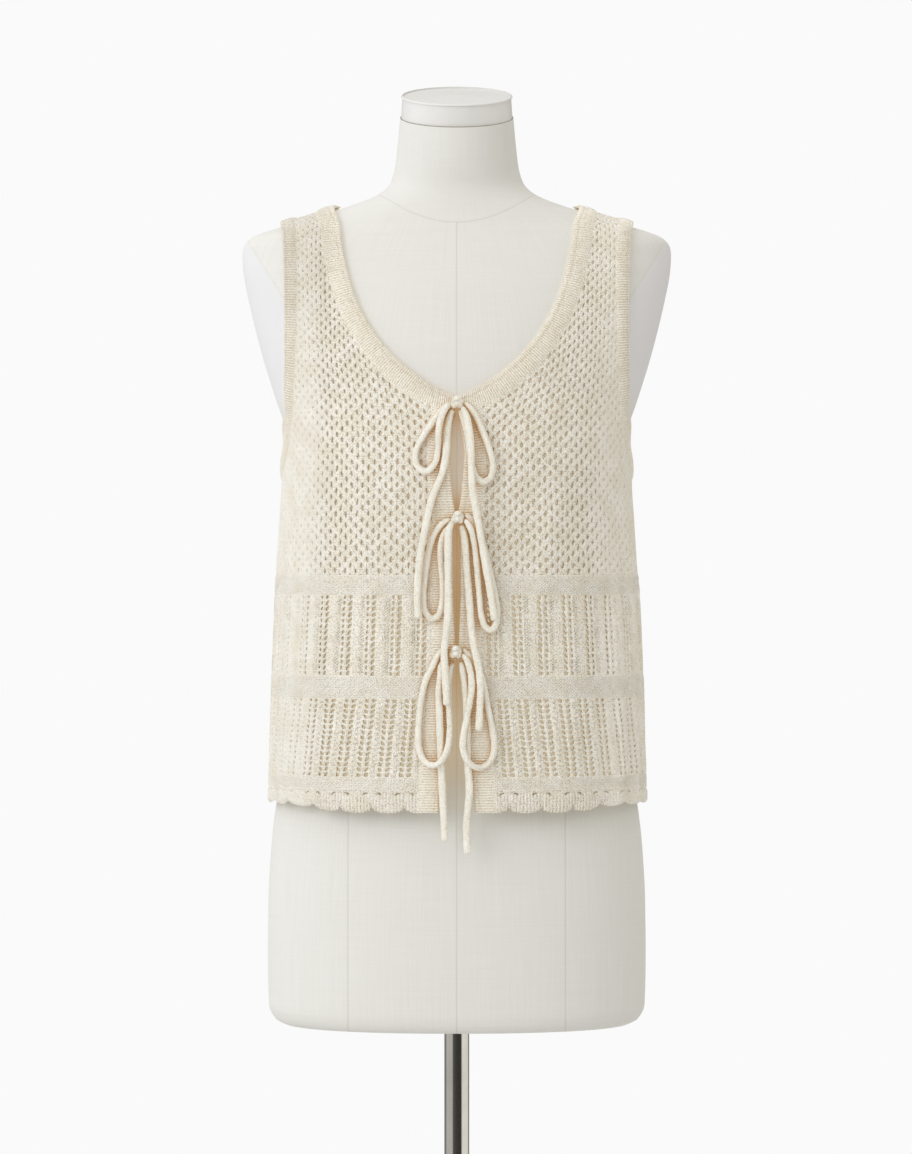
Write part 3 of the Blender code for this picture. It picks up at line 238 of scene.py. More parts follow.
TAIL_ROUTES = {
    "tie_top_left_tail": (
        (-3.5, 546.8), (-6.1, 539.5), (-8.1, 528.2), (-8.9, 514.3), (-10.0, 503.0), (-12.6, 490.8),
        (-16.9, 480.4), (-21.7, 468.2), (-25.6, 451.7, 6.8), (-29.1, 434.4, 10.3),
        (-32.1, 417.0, 10.3), (-33.6, 399.6, 10.3), (-34.5, 381.4, 10.3), (-33.6, 364.0, 10.3),
    ),
    "tie_top_right_tail": (
        (4.8, 548.6, 10.3), (8.3, 540.3, 10.3), (11.1, 526.4, 10.3), (12.4, 509.1, 10.3),
        (12.8, 491.7, 10.3), (13.6, 476.9, 10.3), (16.1, 462.2, 10.3), (18.9, 446.5, 10.3),
        (21.7, 430.9, 10.3), (24.6, 414.4, 10.3), (27.4, 397.9, 10.3), (30.3, 380.5, 10.3),
        (33.0, 362.3, 10.3),
    ),
    "tie_middle_left_tail": (
        (-3.6, 449.1, 10.3), (-6.8, 441.3, 10.3), (-7.6, 428.3, 10.3), (-7.6, 410.1, 10.3),
        (-7.5, 390.9, 10.3), (-7.6, 371.8, 10.3), (-8.9, 353.6, 10.3), (-10.9, 337.1, 10.3),
        (-10.3, 321.5, 10.3), (-9.4, 305.8, 10.3), (-8.9, 288.5, 10.3),
    ),
    "tie_middle_right_tail": (
        (3.6, 446.4), (6.3, 437.8), (7.6, 424.8), (8.8, 407.4), (10.2, 389.2), (11.5, 371.8),
        (12.6, 355.3, 6.8), (15.2, 338.8, 10.3), (18.7, 323.2, 10.3), (20.4, 307.6, 10.3),
        (20.1, 289.3, 10.3), (19.1, 266.8, 10.3),
    ),
    "tie_bottom_left_tail": (
        (-8.6, 330.4), (-12.8, 323.4), (-14.2, 313.8), (-15.7, 300.6), (-15.2, 284.1),
        (-14.6, 263.3), (-14.0, 241.6), (-12.9, 223.3), (-12.1, 206.0), (-11.3, 188.6),
        (-10.4, 170.3),
    ),
    "tie_bottom_right_tail": (
        (3.8, 327.0), (5.6, 318.0), (7.4, 304.1), (8.6, 289.3), (9.1, 272.8), (9.1, 254.6),
        (9.7, 236.4), (11.0, 218.1), (10.2, 204.2), (8.7, 190.3), (8.5, 175.6), (9.3, 159.1),
    ),
}

# How finely the cloth's surfaces are measured
HEM_MARGIN = 12.0
FACE_TOP = 744.0
SHOULDER_START = 621.0
HEIGHT_STEP = 1.5
ANGLES = 241
GRID_STEP = 2.0
EDGE_SAMPLES = 160
OUTLINE_SAMPLES = 40
TIE_SAMPLES = 900
CHART_TOP = 900.0

# Rows of the knitting, in millimetres along from the hem
SCALLOP_TOP = 18.0
HEM_MOSS = (17.5, 30.9)
LOWER_LACE_ROWS = (30.2, 99.6)
MIDDLE_MOSS = (98.9, 119.4)
MIDDLE_LACE_ROWS = (118.6, 190.6)
UPPER_MOSS = (189.7, 207.6)
MESH_BOTTOM = 206.0
OUTLINE_BOTTOM = MESH_BOTTOM - 20.0


# ---------------------------------------------------------------- curves and tables


def smooth_through(places, values, at):
    """Values on a smooth curve through a table's rows, with no overshoot between them."""
    places = np.asarray(places, float)
    values = np.asarray(values, float)
    at = np.clip(np.asarray(at, float), places[0], places[-1])
    steps = np.diff(places)
    rates = np.diff(values) / steps
    slopes = np.concatenate([rates[:1], np.zeros(len(rates) - 1), rates[-1:]])
    turns = rates[:-1] * rates[1:] > 0
    sums = np.where(turns, rates[:-1] + rates[1:], 1.0)
    slopes[1:-1] = np.where(turns, 2 * rates[:-1] * rates[1:] / sums, 0.0)
    row = np.clip(np.searchsorted(places, at, side="right") - 1, 0, len(places) - 2)
    part = (at - places[row]) / steps[row]
    rise = 3 * part**2 - 2 * part**3
    start = (part**3 - 2 * part**2 + part) * steps[row] * slopes[row]
    end = (part**3 - part**2) * steps[row] * slopes[row + 1]
    return values[row] + rise * (values[row + 1] - values[row]) + start + end


def table_at(table, at):
    """The other columns of a table, read smoothly at places in its first column."""
    columns = np.array(table).T
    return [smooth_through(columns[0], column, at) for column in columns[1:]]


def ease_in(at, start, end):
    """0 before start, 1 after end, and a soft step between them."""
    part = np.clip((at - start) / (end - start), 0, 1)
    return part * part * (3 - 2 * part)


def at_least(low, share):
    """A share that starts from low and still ends at 1."""
    return low + (1 - low) * share


def bell(off):
    """A smooth bump: 1 where off is 0, and next to nothing from 2 on."""
    return np.exp(-(off**2))


def angles_round(count):
    """Angles that share out a full turn."""
    return np.arange(count) * 2 * math.pi / count


def run_round(corners, per_side):
    """Places along the four sides of a shape, from corner to corner."""
    corners = np.array(corners, float)
    share = np.arange(per_side)[:, None] / per_side
    return np.concatenate([
        corner * (1 - share) + following * share
        for corner, following in zip(corners, np.roll(corners, -1, axis=0))
    ])


def ring_points(sizes, heights, angles):
    """Points on squared ovals: angle 0 is the centre front, a quarter turn is the +X side."""
    half_width, front, back, side, squareness = (np.asarray(size)[:, None] for size in sizes)
    power = 2 / squareness
    sine = np.sin(angles)[None, :]
    cosine = np.cos(angles)[None, :]
    across = half_width * np.sign(sine) * np.abs(sine) ** power
    reach = np.where(cosine > 0, front - side, back - side)
    fore = side + reach * np.abs(cosine) ** power
    up = np.broadcast_to(np.asarray(heights, float)[:, None], across.shape)
    return np.stack([across, fore, up], axis=-1)


def line_lengths(places):
    """How far along a line each of its places is."""
    steps = np.linalg.norm(np.diff(places, axis=0), axis=1)
    return np.concatenate([[0.0], np.cumsum(steps)])


def line_at(lengths, places, at):
    return np.stack([np.interp(at, lengths, column) for column in places.T], axis=1)


def offset_line(places, distance, left):
    """A line of chart places moved sideways by a distance."""
    along = np.gradient(places, axis=0)
    along /= np.linalg.norm(along, axis=1, keepdims=True)
    turned = np.stack([-along[:, 1], along[:, 0]], axis=1)
    return places + turned * (distance if left else -distance)


def wander(across, along, seed):
    """A slow uneven drift between -1 and 1, which no two parts of the knitting share."""
    turn = 1.7 * seed
    return (
        np.sin(0.093 * across + 0.061 * along + turn)
        + np.sin(0.171 * across - 0.137 * along + 2.3 * turn)
        + np.sin(0.389 * across + 0.293 * along + 3.1 * turn)
    ) / 3


# ---------------------------------------------------------------- the cloth's chart


def cloth_sizes(heights):
    """The inner face of the cloth: it rests on the shoulders and hangs free below the bust."""
    hanging = table_at(HANGING_RINGS, heights)
    half_width, front, back, side, squareness, _ = table_at(FORM_RINGS, heights - CLOTH_LIFT)
    resting = [half_width + CLOTH_EASE, front - CLOTH_EASE, back + CLOTH_EASE, side, squareness]
    share = ease_in(heights, HANGING_TOP, RESTING_BOTTOM)
    return [low * (1 - share) + high * share for low, high in zip(hanging, resting)]


class ClothFace:
    """One face of the garment as a chart: across from its centre line, along from the hem."""

    def __init__(self, is_front):
        self.is_front = is_front
        heights = np.arange(HEM - HEM_MARGIN, FACE_TOP, HEIGHT_STEP)
        quarter = np.linspace(0, math.pi / 2, ANGLES)
        angles = quarter if is_front else math.pi - quarter
        points = ring_points(cloth_sizes(heights), heights, angles)
        turned = np.gradient(points, axis=1)
        raised = np.gradient(points, axis=0)
        normals = np.cross(turned, raised)
        normals /= np.linalg.norm(normals, axis=2, keepdims=True)
        if not is_front:
            normals = -normals
        lengths = np.linalg.norm(np.diff(points, axis=1), axis=2)
        around = np.concatenate([np.zeros((len(heights), 1)), np.cumsum(lengths, axis=1)], axis=1)
        to_side = around[:, -1]
        self.half_girth = np.interp(UNDERARM, heights, to_side)
        self.heights = heights
        scale = np.where(heights < UNDERARM, self.half_girth / to_side, 1.0)
        self.around = around * scale[:, None]
        self.points = points
        self.lay_columns(points, normals)

    def lay_columns(self, points, normals):
        """Follows each stitch column up the cloth, and measures along it."""
        count = int(self.half_girth / GRID_STEP) + 2
        self.across_step = self.half_girth / (count - 1)
        values = np.concatenate([points, normals], axis=2)
        columns = [self.column(number * self.across_step, values) for number in range(count)]
        self.ridge = np.array([along[-1] for along, _ in columns])
        longest = self.ridge.max()
        self.along = np.arange(columns[0][0][0], longest + GRID_STEP, GRID_STEP)
        self.grid = np.zeros((count, len(self.along), 6))
        for number, (along, rows) in enumerate(columns):
            for part in range(6):
                self.grid[number, :, part] = np.interp(self.along, along, rows[:, part])

    def column(self, across, values):
        reach = self.around[:, -1]
        past = (self.heights > UNDERARM) & (reach < across)
        end = int(np.argmax(past)) if past.any() else len(self.heights)
        rows = np.array([
            [np.interp(across, self.around[row], values[row, :, part]) for part in range(6)]
            for row in range(end)
        ])
        if past.any():
            share = (reach[end - 1] - across) / (reach[end - 1] - reach[end])
            last = values[end - 1, -1] * (1 - share) + values[end, -1] * share
            rows = np.vstack([rows, last])
        along = line_lengths(rows[:, :3])
        hem_along = np.interp(HEM, rows[:, 2], along)
        return along - hem_along, rows

    def ridge_at(self, across):
        return np.interp(across, np.arange(len(self.ridge)) * self.across_step, self.ridge)

    def read(self, across, along):
        """Point and outward direction at places on the +X half."""
        column = np.clip(np.asarray(across, float) / self.across_step, 0, len(self.ridge) - 1.001)
        row = (np.asarray(along, float) - self.along[0]) / GRID_STEP
        row = np.clip(row, 0, len(self.along) - 1.001)
        left = column.astype(int)
        low = row.astype(int)
        right_share = (column - left)[..., None]
        high_share = (row - low)[..., None]
        lower, upper = (
            self.grid[left, at] * (1 - right_share) + self.grid[left + 1, at] * right_share
            for at in (low, low + 1)
        )
        return lower * (1 - high_share) + upper * high_share

    def on_chart(self, across, height):
        """Where a place given by its X and its height lies on the chart."""
        row = np.searchsorted(self.heights, height)
        row = min(max(row, 1), len(self.heights) - 1)
        share = (height - self.heights[row - 1]) / HEIGHT_STEP
        flat = [
            np.interp(across, self.points[near, :, 0], self.around[near])
            for near in (row - 1, row)
        ]
        column = flat[0] * (1 - share) + flat[1] * share
        return column, self.along_at(column, height)

    def along_at(self, across, height):
        steps = self.along[self.along <= self.ridge_at(across)]
        heights = self.read(np.full(len(steps), across), steps)[:, 2]
        return np.interp(height, heights, steps)


def fold_rise(face, across, along):
    """How far the soft folds lift the cloth; each fades out at its ends and at the side seams."""
    rise = np.zeros(np.broadcast(across, along).shape)
    folds = FRONT_FOLDS if face.is_front else BACK_FOLDS
    for place, slant, half_width, height, bottom, top in folds:
        off = (across - place - slant * along) / half_width
        fade_in = ease_in(along, bottom, bottom + FOLD_FADE_IN)
        fade = fade_in * (1 - ease_in(along, top - FOLD_FADE_OUT, top))
        rise = rise + height * bell(off) * fade
    return rise * ease_in(face.half_girth - np.abs(across), -1.0, SIDE_FADE)


def cloth_points(face, across, along, out):
    """Points on the cloth, moved out from its inner face. Across is negative on the -X half."""
    across, along = np.broadcast_arrays(np.asarray(across, float), np.asarray(along, float))
    found = face.read(np.abs(across), along)
    lift = (out + fold_rise(face, across, along))[..., None]
    points = found[..., :3] + found[..., 3:] * lift
    points[..., 0] *= np.where(across < 0, -1, 1)
    points[..., 2] += FORM_BASE
    return points


def ridge_column(face, strap_across):
    """The stitch column that meets the shoulder ridge at a given X."""
    columns = np.arange(len(face.ridge)) * face.across_step
    over = face.read(columns, face.ridge)[:, 0]
    upper = face.ridge > face.along_at(0.0, SHOULDER_START)
    return float(np.interp(strap_across, over[upper], columns[upper]))


def edge_line(face, table, strap_across, from_side):
    """An edge of the garment on the chart, from its lowest place up to the shoulder ridge."""
    places = [face.on_chart(across, height) for height, across in table]
    if from_side:
        places.insert(0, (face.half_girth, face.along_at(face.half_girth, UNDERARM)))
    column = ridge_column(face, strap_across)
    places.append((column, face.ridge_at(column)))
    places = np.array(places)
    lengths = line_lengths(places)
    at = np.linspace(0, lengths[-1], EDGE_SAMPLES)
    return np.stack([smooth_through(lengths, places[:, part], at) for part in (0, 1)], axis=1)


def banded_edge(face, table, strap_across, width, from_side):
    """The free edge and the seam edge of a band, place by place, both ending on the ridge."""
    free = edge_line(face, table, strap_across, from_side)
    seam = offset_line(free, width, from_side)
    outward = -width if from_side else width
    end_column = ridge_column(face, strap_across + outward * RIDGE_SHORTENING)
    end = np.array([end_column, face.ridge_at(end_column)])
    start = np.array([free[0, 0], free[0, 1] - width])
    lengths = line_lengths(free)
    near_start = 1 - ease_in(lengths, 0, LEAD_IN)
    near_end = ease_in(lengths, lengths[-1] - LEAD_IN, lengths[-1])
    seam += near_start[:, None] * (start - seam[0]) + near_end[:, None] * (end - seam[-1])
    seam[:, 0] = np.minimum(seam[:, 0], face.half_girth)
    seam[:, 1] = np.minimum(seam[:, 1], face.ridge_at(seam[:, 0]))
    return free, seam


class Cut:
    """The cut of the garment: the edges and seams of its bands on both charts, +X half."""

    def __init__(self, front, back):
        self.front = front
        self.back = back
        self.neck_front = banded_edge(front, FRONT_NECKLINE, STRAP_INNER, NECKBAND_WIDTH, False)
        self.neck_back = banded_edge(back, BACK_NECKLINE, STRAP_INNER, NECKBAND_WIDTH, False)
        self.arm_front = banded_edge(front, FRONT_ARMHOLE, STRAP_OUTER, ARMBAND_WIDTH, True)
        self.arm_back = banded_edge(back, BACK_ARMHOLE, STRAP_OUTER, ARMBAND_WIDTH, True)

    def gap_edge(self, along):
        """Half the width of the front opening."""
        heights = self.front.read(np.zeros(np.shape(along)), along)[..., 2]
        return table_at(FRONT_GAP, heights)[0]

    def placket_seam(self, along):
        return self.gap_edge(along) + PLACKET_WIDTH

    def placket_top(self):
        """How far along the placket's seam meets the neckband's."""
        neck = self.neck_front[1]
        return np.interp(neck[0, 0] + PLACKET_WIDTH, neck[:, 0], neck[:, 1])

    def front_outline(self):
        """Chart outline of one front panel above the lace, counter-clockwise."""
        alongs = np.linspace(self.placket_top(), OUTLINE_BOTTOM, OUTLINE_SAMPLES)
        placket = np.stack([self.placket_seam(alongs), alongs], axis=1)
        side = np.array([[self.front.half_girth, OUTLINE_BOTTOM]])
        neck = self.neck_front[1]
        neck = neck[neck[:, 0] > placket[0, 0]]
        return np.vstack([side, self.arm_front[1], neck[::-1], placket])

    def back_outline(self):
        """Chart outline of the back above the lace, from side seam to side seam."""
        side = np.array([[self.back.half_girth, OUTLINE_BOTTOM]])
        right = np.vstack([side, self.arm_back[1], self.neck_back[1][::-1]])
        left = right[::-1] * np.array([-1, 1])
        return np.vstack([right, left])


def inside_by(places, outline):
    """How far inside an outline each place is; negative outside it."""
    starts = outline
    ends = np.roll(outline, -1, axis=0)
    legs = ends - starts
    sizes = np.maximum((legs**2).sum(1), 1e-9)
    away = places[:, None, :] - starts[None, :, :]
    share = np.clip((away * legs).sum(2) / sizes, 0, 1)
    nearest = np.linalg.norm(away - share[..., None] * legs, axis=2).min(1)
    low = np.minimum(starts[:, 1], ends[:, 1])
    high = np.maximum(starts[:, 1], ends[:, 1])
    rise = np.where(legs[:, 1] == 0, 1e-9, legs[:, 1])
    crossing = starts[:, 0] + (places[:, 1:2] - starts[:, 1]) * legs[:, 0] / rise
    level = (places[:, 1:2] >= low) & (places[:, 1:2] < high)
    inside = (level & (crossing > places[:, :1])).sum(1) % 2 == 1
    return np.where(inside, nearest, -nearest)


# ---------------------------------------------------------------- meshes


def numbered(rows, columns, closed=False):
    """Point numbers of a grid; if closed, its first row comes again after its last."""
    number = np.arange(rows * columns).reshape(rows, columns)
    return np.vstack([number, number[:1]]) if closed else number


def grid_faces(number):
    """Four-cornered faces between the points of a numbered grid."""
    corners = (number[:-1, :-1], number[:-1, 1:], number[1:, 1:], number[1:, :-1])
    return np.stack(corners, axis=-1).reshape(-1, 4)


def ring_faces(rings, sides, closed=False):
    """Four-cornered faces between rings of points; if closed, also from the last to the first."""
    number = numbered(rings, sides, closed)
    return grid_faces(np.hstack([number, number[:, :1]]))


def lid_faces(sides):
    """Four-cornered faces that close off the first ring of points."""
    near = np.arange(sides // 2 - 1)
    return np.stack([near, near + 1, sides - 2 - near, sides - 1 - near], axis=1)


def turned_faces(faces):
    return faces[:, ::-1]


def layered(*values):
    """Places made of across, along, out and recess shade (the painted shade of a recess), some of
    which may be one value for all.
    """
    return np.stack(np.broadcast_arrays(*values), axis=-1)


class Knitting:
    """Stitched places (across, along, out and painted recess shade) and the four-cornered faces
    between them.
    """

    def __init__(self):
        self.places = []
        self.faces = []
        self.count = 0

    def add(self, places, faces):
        self.places.append(places)
        self.faces.append(faces + self.count)
        self.count += len(places)

    def add_grid(self, grid):
        self.add(grid.reshape(-1, 4), grid_faces(numbered(*grid.shape[:2])))
        return self

    def add_rings(self, rings, filled):
        """Rings of places round each eyelet, from the cell's edge in; a filled cell has none."""
        layers, corners = rings.shape[1:3]
        lid = (layers - 2) * corners + lid_faces(corners)
        whole = np.vstack([ring_faces(layers - 1, corners), lid])
        for cells, faces in ((rings[~filled], ring_faces(layers, corners)), (rings[filled], whole)):
            starts = np.arange(len(cells)) * layers * corners
            self.add(cells.reshape(-1, 4), (faces + starts[:, None, None]).reshape(-1, 4))

    def joined(self):
        """All of it as one mesh, in which places that meet on the chart are one."""
        places = np.concatenate(self.places)
        faces = np.concatenate(self.faces)
        keys = np.round(places[:, :2], 3)
        _, first, same = np.unique(keys, axis=0, return_index=True, return_inverse=True)
        faces = same.reshape(-1)[faces]
        a, b, c, d = faces.T
        sound = (a != b) & (b != c) & (c != d) & (d != a) & (a != c) & (b != d)
        return places[first], faces[sound]


def linked(name, data):
    """A new object in the scene."""
    made = bpy.data.objects.new(name, data)
    bpy.context.scene.collection.objects.link(made)
    return made


def object_from(name, points, faces, material, recess_shade=None, place=None):
    """A named piece with its finish, riding on the one body there is. Points are in millimetres;
    recess shade is the painted shade of each point.
    """
    mesh = bpy.data.meshes.new(name)
    used, index = np.unique(np.asarray(faces).reshape(-1), return_inverse=True)
    corners = index.reshape(-1, np.shape(faces)[1])
    mesh.from_pydata((points[used] * METRE).tolist(), [], corners.tolist())
    if recess_shade is not None:
        layer = mesh.attributes.new("recess_shade", "FLOAT", "POINT")
        layer.data.foreach_set("value", np.ascontiguousarray(recess_shade[used], np.float32))
    if place is not None:
        layer = mesh.attributes.new("stitch_place", "FLOAT_VECTOR", "POINT")
        flat = np.zeros((len(used), 3), np.float32)
        flat[:, :2] = place[used]
        layer.data.foreach_set("vector", flat.reshape(-1))
    mesh.materials.append(material)
    mesh.shade_smooth()
    made = linked(name, mesh)
    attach(made, "root")
    return made


def tube_rings(line, radii, sides):
    """Rings round a line, with no twist between them."""
    along = np.gradient(line, axis=0)
    along /= np.linalg.norm(along, axis=1, keepdims=True)
    side = np.cross(along[0], (0.0, -1.0, 0.0))
    side /= np.linalg.norm(side)
    turn = angles_round(sides)
    rings = []
    for point, direction, radius in zip(line, along, radii):
        side = side - direction * side.dot(direction)
        side /= np.linalg.norm(side)
        up = np.cross(direction, side)
        rings.append(point + radius * (np.cos(turn)[:, None] * side + np.sin(turn)[:, None] * up))
    return np.array(rings)


# ---------------------------------------------------------------- knitting on the chart

# Height of the knitting's parts above the cloth's inner face
LIP_OUT = 0.3
EYELET_OUT = 1.3
STRAND_OUT = 2.05
BAR_OUT = 1.6
MOSS_OUT = 2.2
UNDER_BAND_OUT = 1.95

# Moss stitch: its seeds, its two edges that dip, and the crease pressed into the upper band;
# painted shade between the seeds and in the crease, and the whole band painted lighter
MOSS_RISE = 0.7
MOSS_FINENESS = 0.8
MOSS_ACROSS = 1.5
MOSS_ALONG = 1.35
MOSS_EDGE = 2.5
MOSS_LIP = 1.2
MOSS_LIP_DEPTH = 0.35
MOSS_UNEVEN = 0.12
MOSS_SHADE = 0.8
MOSS_LIGHT = 0.3
CREASE_ALONG = 201.8
CREASE_WIDTH = 0.7
CREASE_DEPTH = 0.35
CREASE_SHADE = 0.2

# Scallops of the hem: their edge, their fans of ribs, and the notches and slits between them;
# painted shade between the ribs and courses, at the turned hem, in the notches and slits, and the
# fans painted lighter
SCALLOP_WIDTH = 28.0
SCALLOP_DEPTH = 4.2
SCALLOP_HANG = 1.0
SCALLOP_ROUNDNESS = 0.55
SCALLOP_FINENESS = 0.9
FRONT_NOTCH = 44.0
HEM_LIFT = 5.0
HEM_LIFTED = (95.0, 150.0)
FAN_OUT = 1.7
FAN_RIB = 2.8
FAN_RIB_RISE = 0.5
FAN_SPREAD = 0.7
FAN_UNEVEN = 0.3
FAN_SHADE = 0.24
FAN_LIGHT = 0.22
FAN_COURSE = 2.2
FAN_COURSE_RISE = 0.2
FAN_COURSE_SHADE = 0.1
HEM_TURN_DEPTH = 1.2
HEM_TURN_SHADE = 0.3
NOTCH_WIDTH = 1.3
NOTCH_DEPTH = 0.6
NOTCH_SHADE = 0.35
SLIT_ACROSS = 6.2
SLIT_ALONG = 16.2
SLIT_SLANT = 0.55
SLIT_WIDTH = 2.4
SLIT_HEIGHT = 0.8
SLIT_DEPTH = 1.3
SLIT_SHADE = 0.9

# The cord of stitches that waves over the fans, with painted shade between its beats
ARCH_ALONG = 18.2
ARCH_WAVE = 1.2
ARCH_HALF_WIDTH = 1.7
ARCH_ROWS = 7
ARCH_OUT = 1.5
ARCH_ROUND = 1.05
ARCH_BEAT = 0.25
ARCH_SHADE = 0.12

# Lace. Its eyelets are (width, height, lean) and the tilts of its rows are slopes, each for the
# column nearer the centre line and then for the one farther from it.
LOWER_LACE = {
    "pair": 18.0,
    "first_pair": 41.0,
    "cell": 6.4,
    "rows": 15,
    "bottom": LOWER_LACE_ROWS[0],
    "top": LOWER_LACE_ROWS[1],
    "slant": 0.11,
    "eyelets": ((3.1, 2.8, 0.1), (3.0, 2.7, -0.1)),
    "tilts": (-0.5, 0.5),
    "purls": 0.0,
    "chevrons": 0.5,
    "cable_rise": 0.5,
    "spine_rise": 0.5,
    "spine_width": 0.9,
}
MIDDLE_LACE = {
    "pair": 22.0,
    "first_pair": 30.0,
    "cell": 5.7,
    "rows": 14,
    "bottom": MIDDLE_LACE_ROWS[0],
    "top": MIDDLE_LACE_ROWS[1],
    "slant": 0.03,
    "eyelets": ((2.8, 3.2, 0.0), (1.5, 2.6, 0.2)),
    "tilts": (-0.7, -0.6),
    "purls": 0.3,
    "chevrons": 0.15,
    "cable_rise": 0.4,
    "spine_rise": 0.45,
    "spine_width": 1.5,
}
LACE_MIDDLE = (0.42, 0.58)
LACE_LIP = 0.93
LACE_FILLED = 0.62
LACE_LEANS_TO = 60.0
LACE_UNEVEN = 0.35
BAR_SHARPNESS = 1.5
SPINE_SLOPE = 0.8
SPINE_BEAT = 0.35
CABLE_FINENESS = 1.1
CABLE_TWIST = 1.2
CABLE_END = 4.0
PURL_START = (0.45, 0.8)
PURL_RISE = 1.6
PANEL_MARGIN = 1.0
CABLE_MARGIN = 2.0

# How unevenly eyelets are drawn, in width, height, lean and place, and the least they open upward
LACE_EYELETS = (0.16, 0.13, 0.12, 0.22, 0.5)
MESH_EYELETS = (0.4, 0.25, 0.2, 0.25, 0.4)

# Diamond mesh of the bodice: its cells, its eyelets and how they close over the chest
MESH_ACROSS = 10.3
MESH_ROW = 5.0
MESH_REACH = 90.0
MESH_PAST_CENTRE = 70.0
MESH_UNEVEN = (0.45, 0.5)
MESH_EYELET = (0.58, 2.1)
MESH_MIDDLE = (0.45, 0.55)
MESH_LIP = 0.75
MESH_TEAR = 0.3
MESH_CLOSING = 0.3
MESH_CLOSED_FROM = (380.0, 440.0)
MESH_EDGE_DIP = 0.12
MESH_KNOT = 0.2
MESH_MIDDLE_RISE = 0.02
STRAP_TIGHTNESS = 0.18
STRAP_CENTRE = 136.0
TIGHTENING = (330.0, 430.0)
RIDGE_MARGIN = 2.0
FILLED_BELOW_RIDGE = 3.2

# Where the panels go under the bands, and where their eyelets are calm near the side seams; there
# their painted shade fades and they are painted lighter
HIDDEN_UNDER_BAND = 5.2
UNDER_PLACKET = 4.0
CALM_EDGE = (112.0, 150.0)
CALM_END = 14.0
CALM_LIGHT = 0.5


class Panel:
    """What a knitted panel needs: its face, its edges on the chart, and how finely it is made.

    Calm is how far its eyelets close near the side, and how far their painted shade gives way to
    painted light there; lean is how much those of its mesh slant.
    """

    def __init__(
        self, face, near_edge, far_edge, both_sides, cell_steps, grid_step, seed, calm=0.0, lean=0.0
    ):
        self.face = face
        self.near_edge = near_edge
        self.far_edge = far_edge
        self.both_sides = both_sides
        self.cell_steps = cell_steps
        self.grid_step = grid_step
        self.seed = seed
        self.calm = calm
        self.lean = lean

    def calm_at(self, across):
        """How far open the eyelets stand: less over the side's smooth bulge."""
        off = np.abs(across)
        seam = self.face.half_girth
        by_seam = ease_in(off, seam - CALM_END, seam - CALM_END / 2)
        return 1 - self.calm * ease_in(off, *CALM_EDGE) * (1 - by_seam)

    def rows_between(self, alongs, fineness=1.0):
        """A grid of chart places over the panel at these rows."""
        near = self.near_edge(alongs)
        far = np.full(len(alongs), self.far_edge)
        count = round(float(far[0] - near[0]) / self.grid_step / fineness)
        share = np.linspace(0, 1, count + 1)
        across = near[:, None] * (1 - share) + far[:, None] * share
        return across, np.broadcast_to(alongs[:, None], across.shape)

    def hold(self, places):
        """Keeps places within the side seams and below the shoulder ridge."""
        places[..., 0] = np.clip(places[..., 0], -self.face.half_girth, self.far_edge)
        places[..., 1] = np.minimum(places[..., 1], self.face.ridge_at(np.abs(places[..., 0])))
        return places


def moss_seeds(across, along, drift=0.0):
    """The purls and gaps of moss stitch, from 1 down to -1."""
    wales = np.sin(across * math.pi / MOSS_ACROSS + drift)
    return wales * np.sin(along * math.pi / MOSS_ALONG + drift)


def moss_rows(panel, bottom, top, crease=None):
    """A band of moss stitch, whose two edges dip over the lace beside it."""
    count = round((top - bottom) / panel.grid_step / MOSS_FINENESS)
    across, along = panel.rows_between(np.linspace(bottom, top, count + 1), MOSS_FINENESS)
    edge = np.minimum(along - bottom, top - along)
    seeds = moss_seeds(across, along, wander(across * 2, along * 2, panel.seed))
    out = MOSS_OUT + MOSS_RISE * seeds * at_least(0.4, ease_in(edge, 0, MOSS_EDGE))
    out -= MOSS_LIP_DEPTH * (1 - ease_in(edge, 0, MOSS_LIP))
    # Painted shade between the seeds, and the whole band painted lighter
    recess_shade = MOSS_SHADE * np.clip(-seeds, 0, 1) - MOSS_LIGHT
    if crease is not None:
        line = bell((along - crease) / CREASE_WIDTH)
        out -= CREASE_DEPTH * line
        recess_shade += CREASE_SHADE * line
    out += MOSS_UNEVEN * wander(across * 3, along * 3, panel.seed)
    return Knitting().add_grid(layered(across, along, out, recess_shade))


def hem_slits(part, along):
    """Where the two slanting slits beside each notch are open."""
    from_notch = np.where(part > 0.5, part - 1, part) * SCALLOP_WIDTH
    slits = np.zeros(part.shape)
    for side in (-1, 1):
        centre = from_notch - side * SLIT_ACROSS
        rise = along - SLIT_ALONG + side * SLIT_SLANT * centre
        opened = np.exp(-((centre / SLIT_WIDTH) ** 4) - (rise / SLIT_HEIGHT) ** 2)
        slits = np.maximum(slits, opened)
    return slits


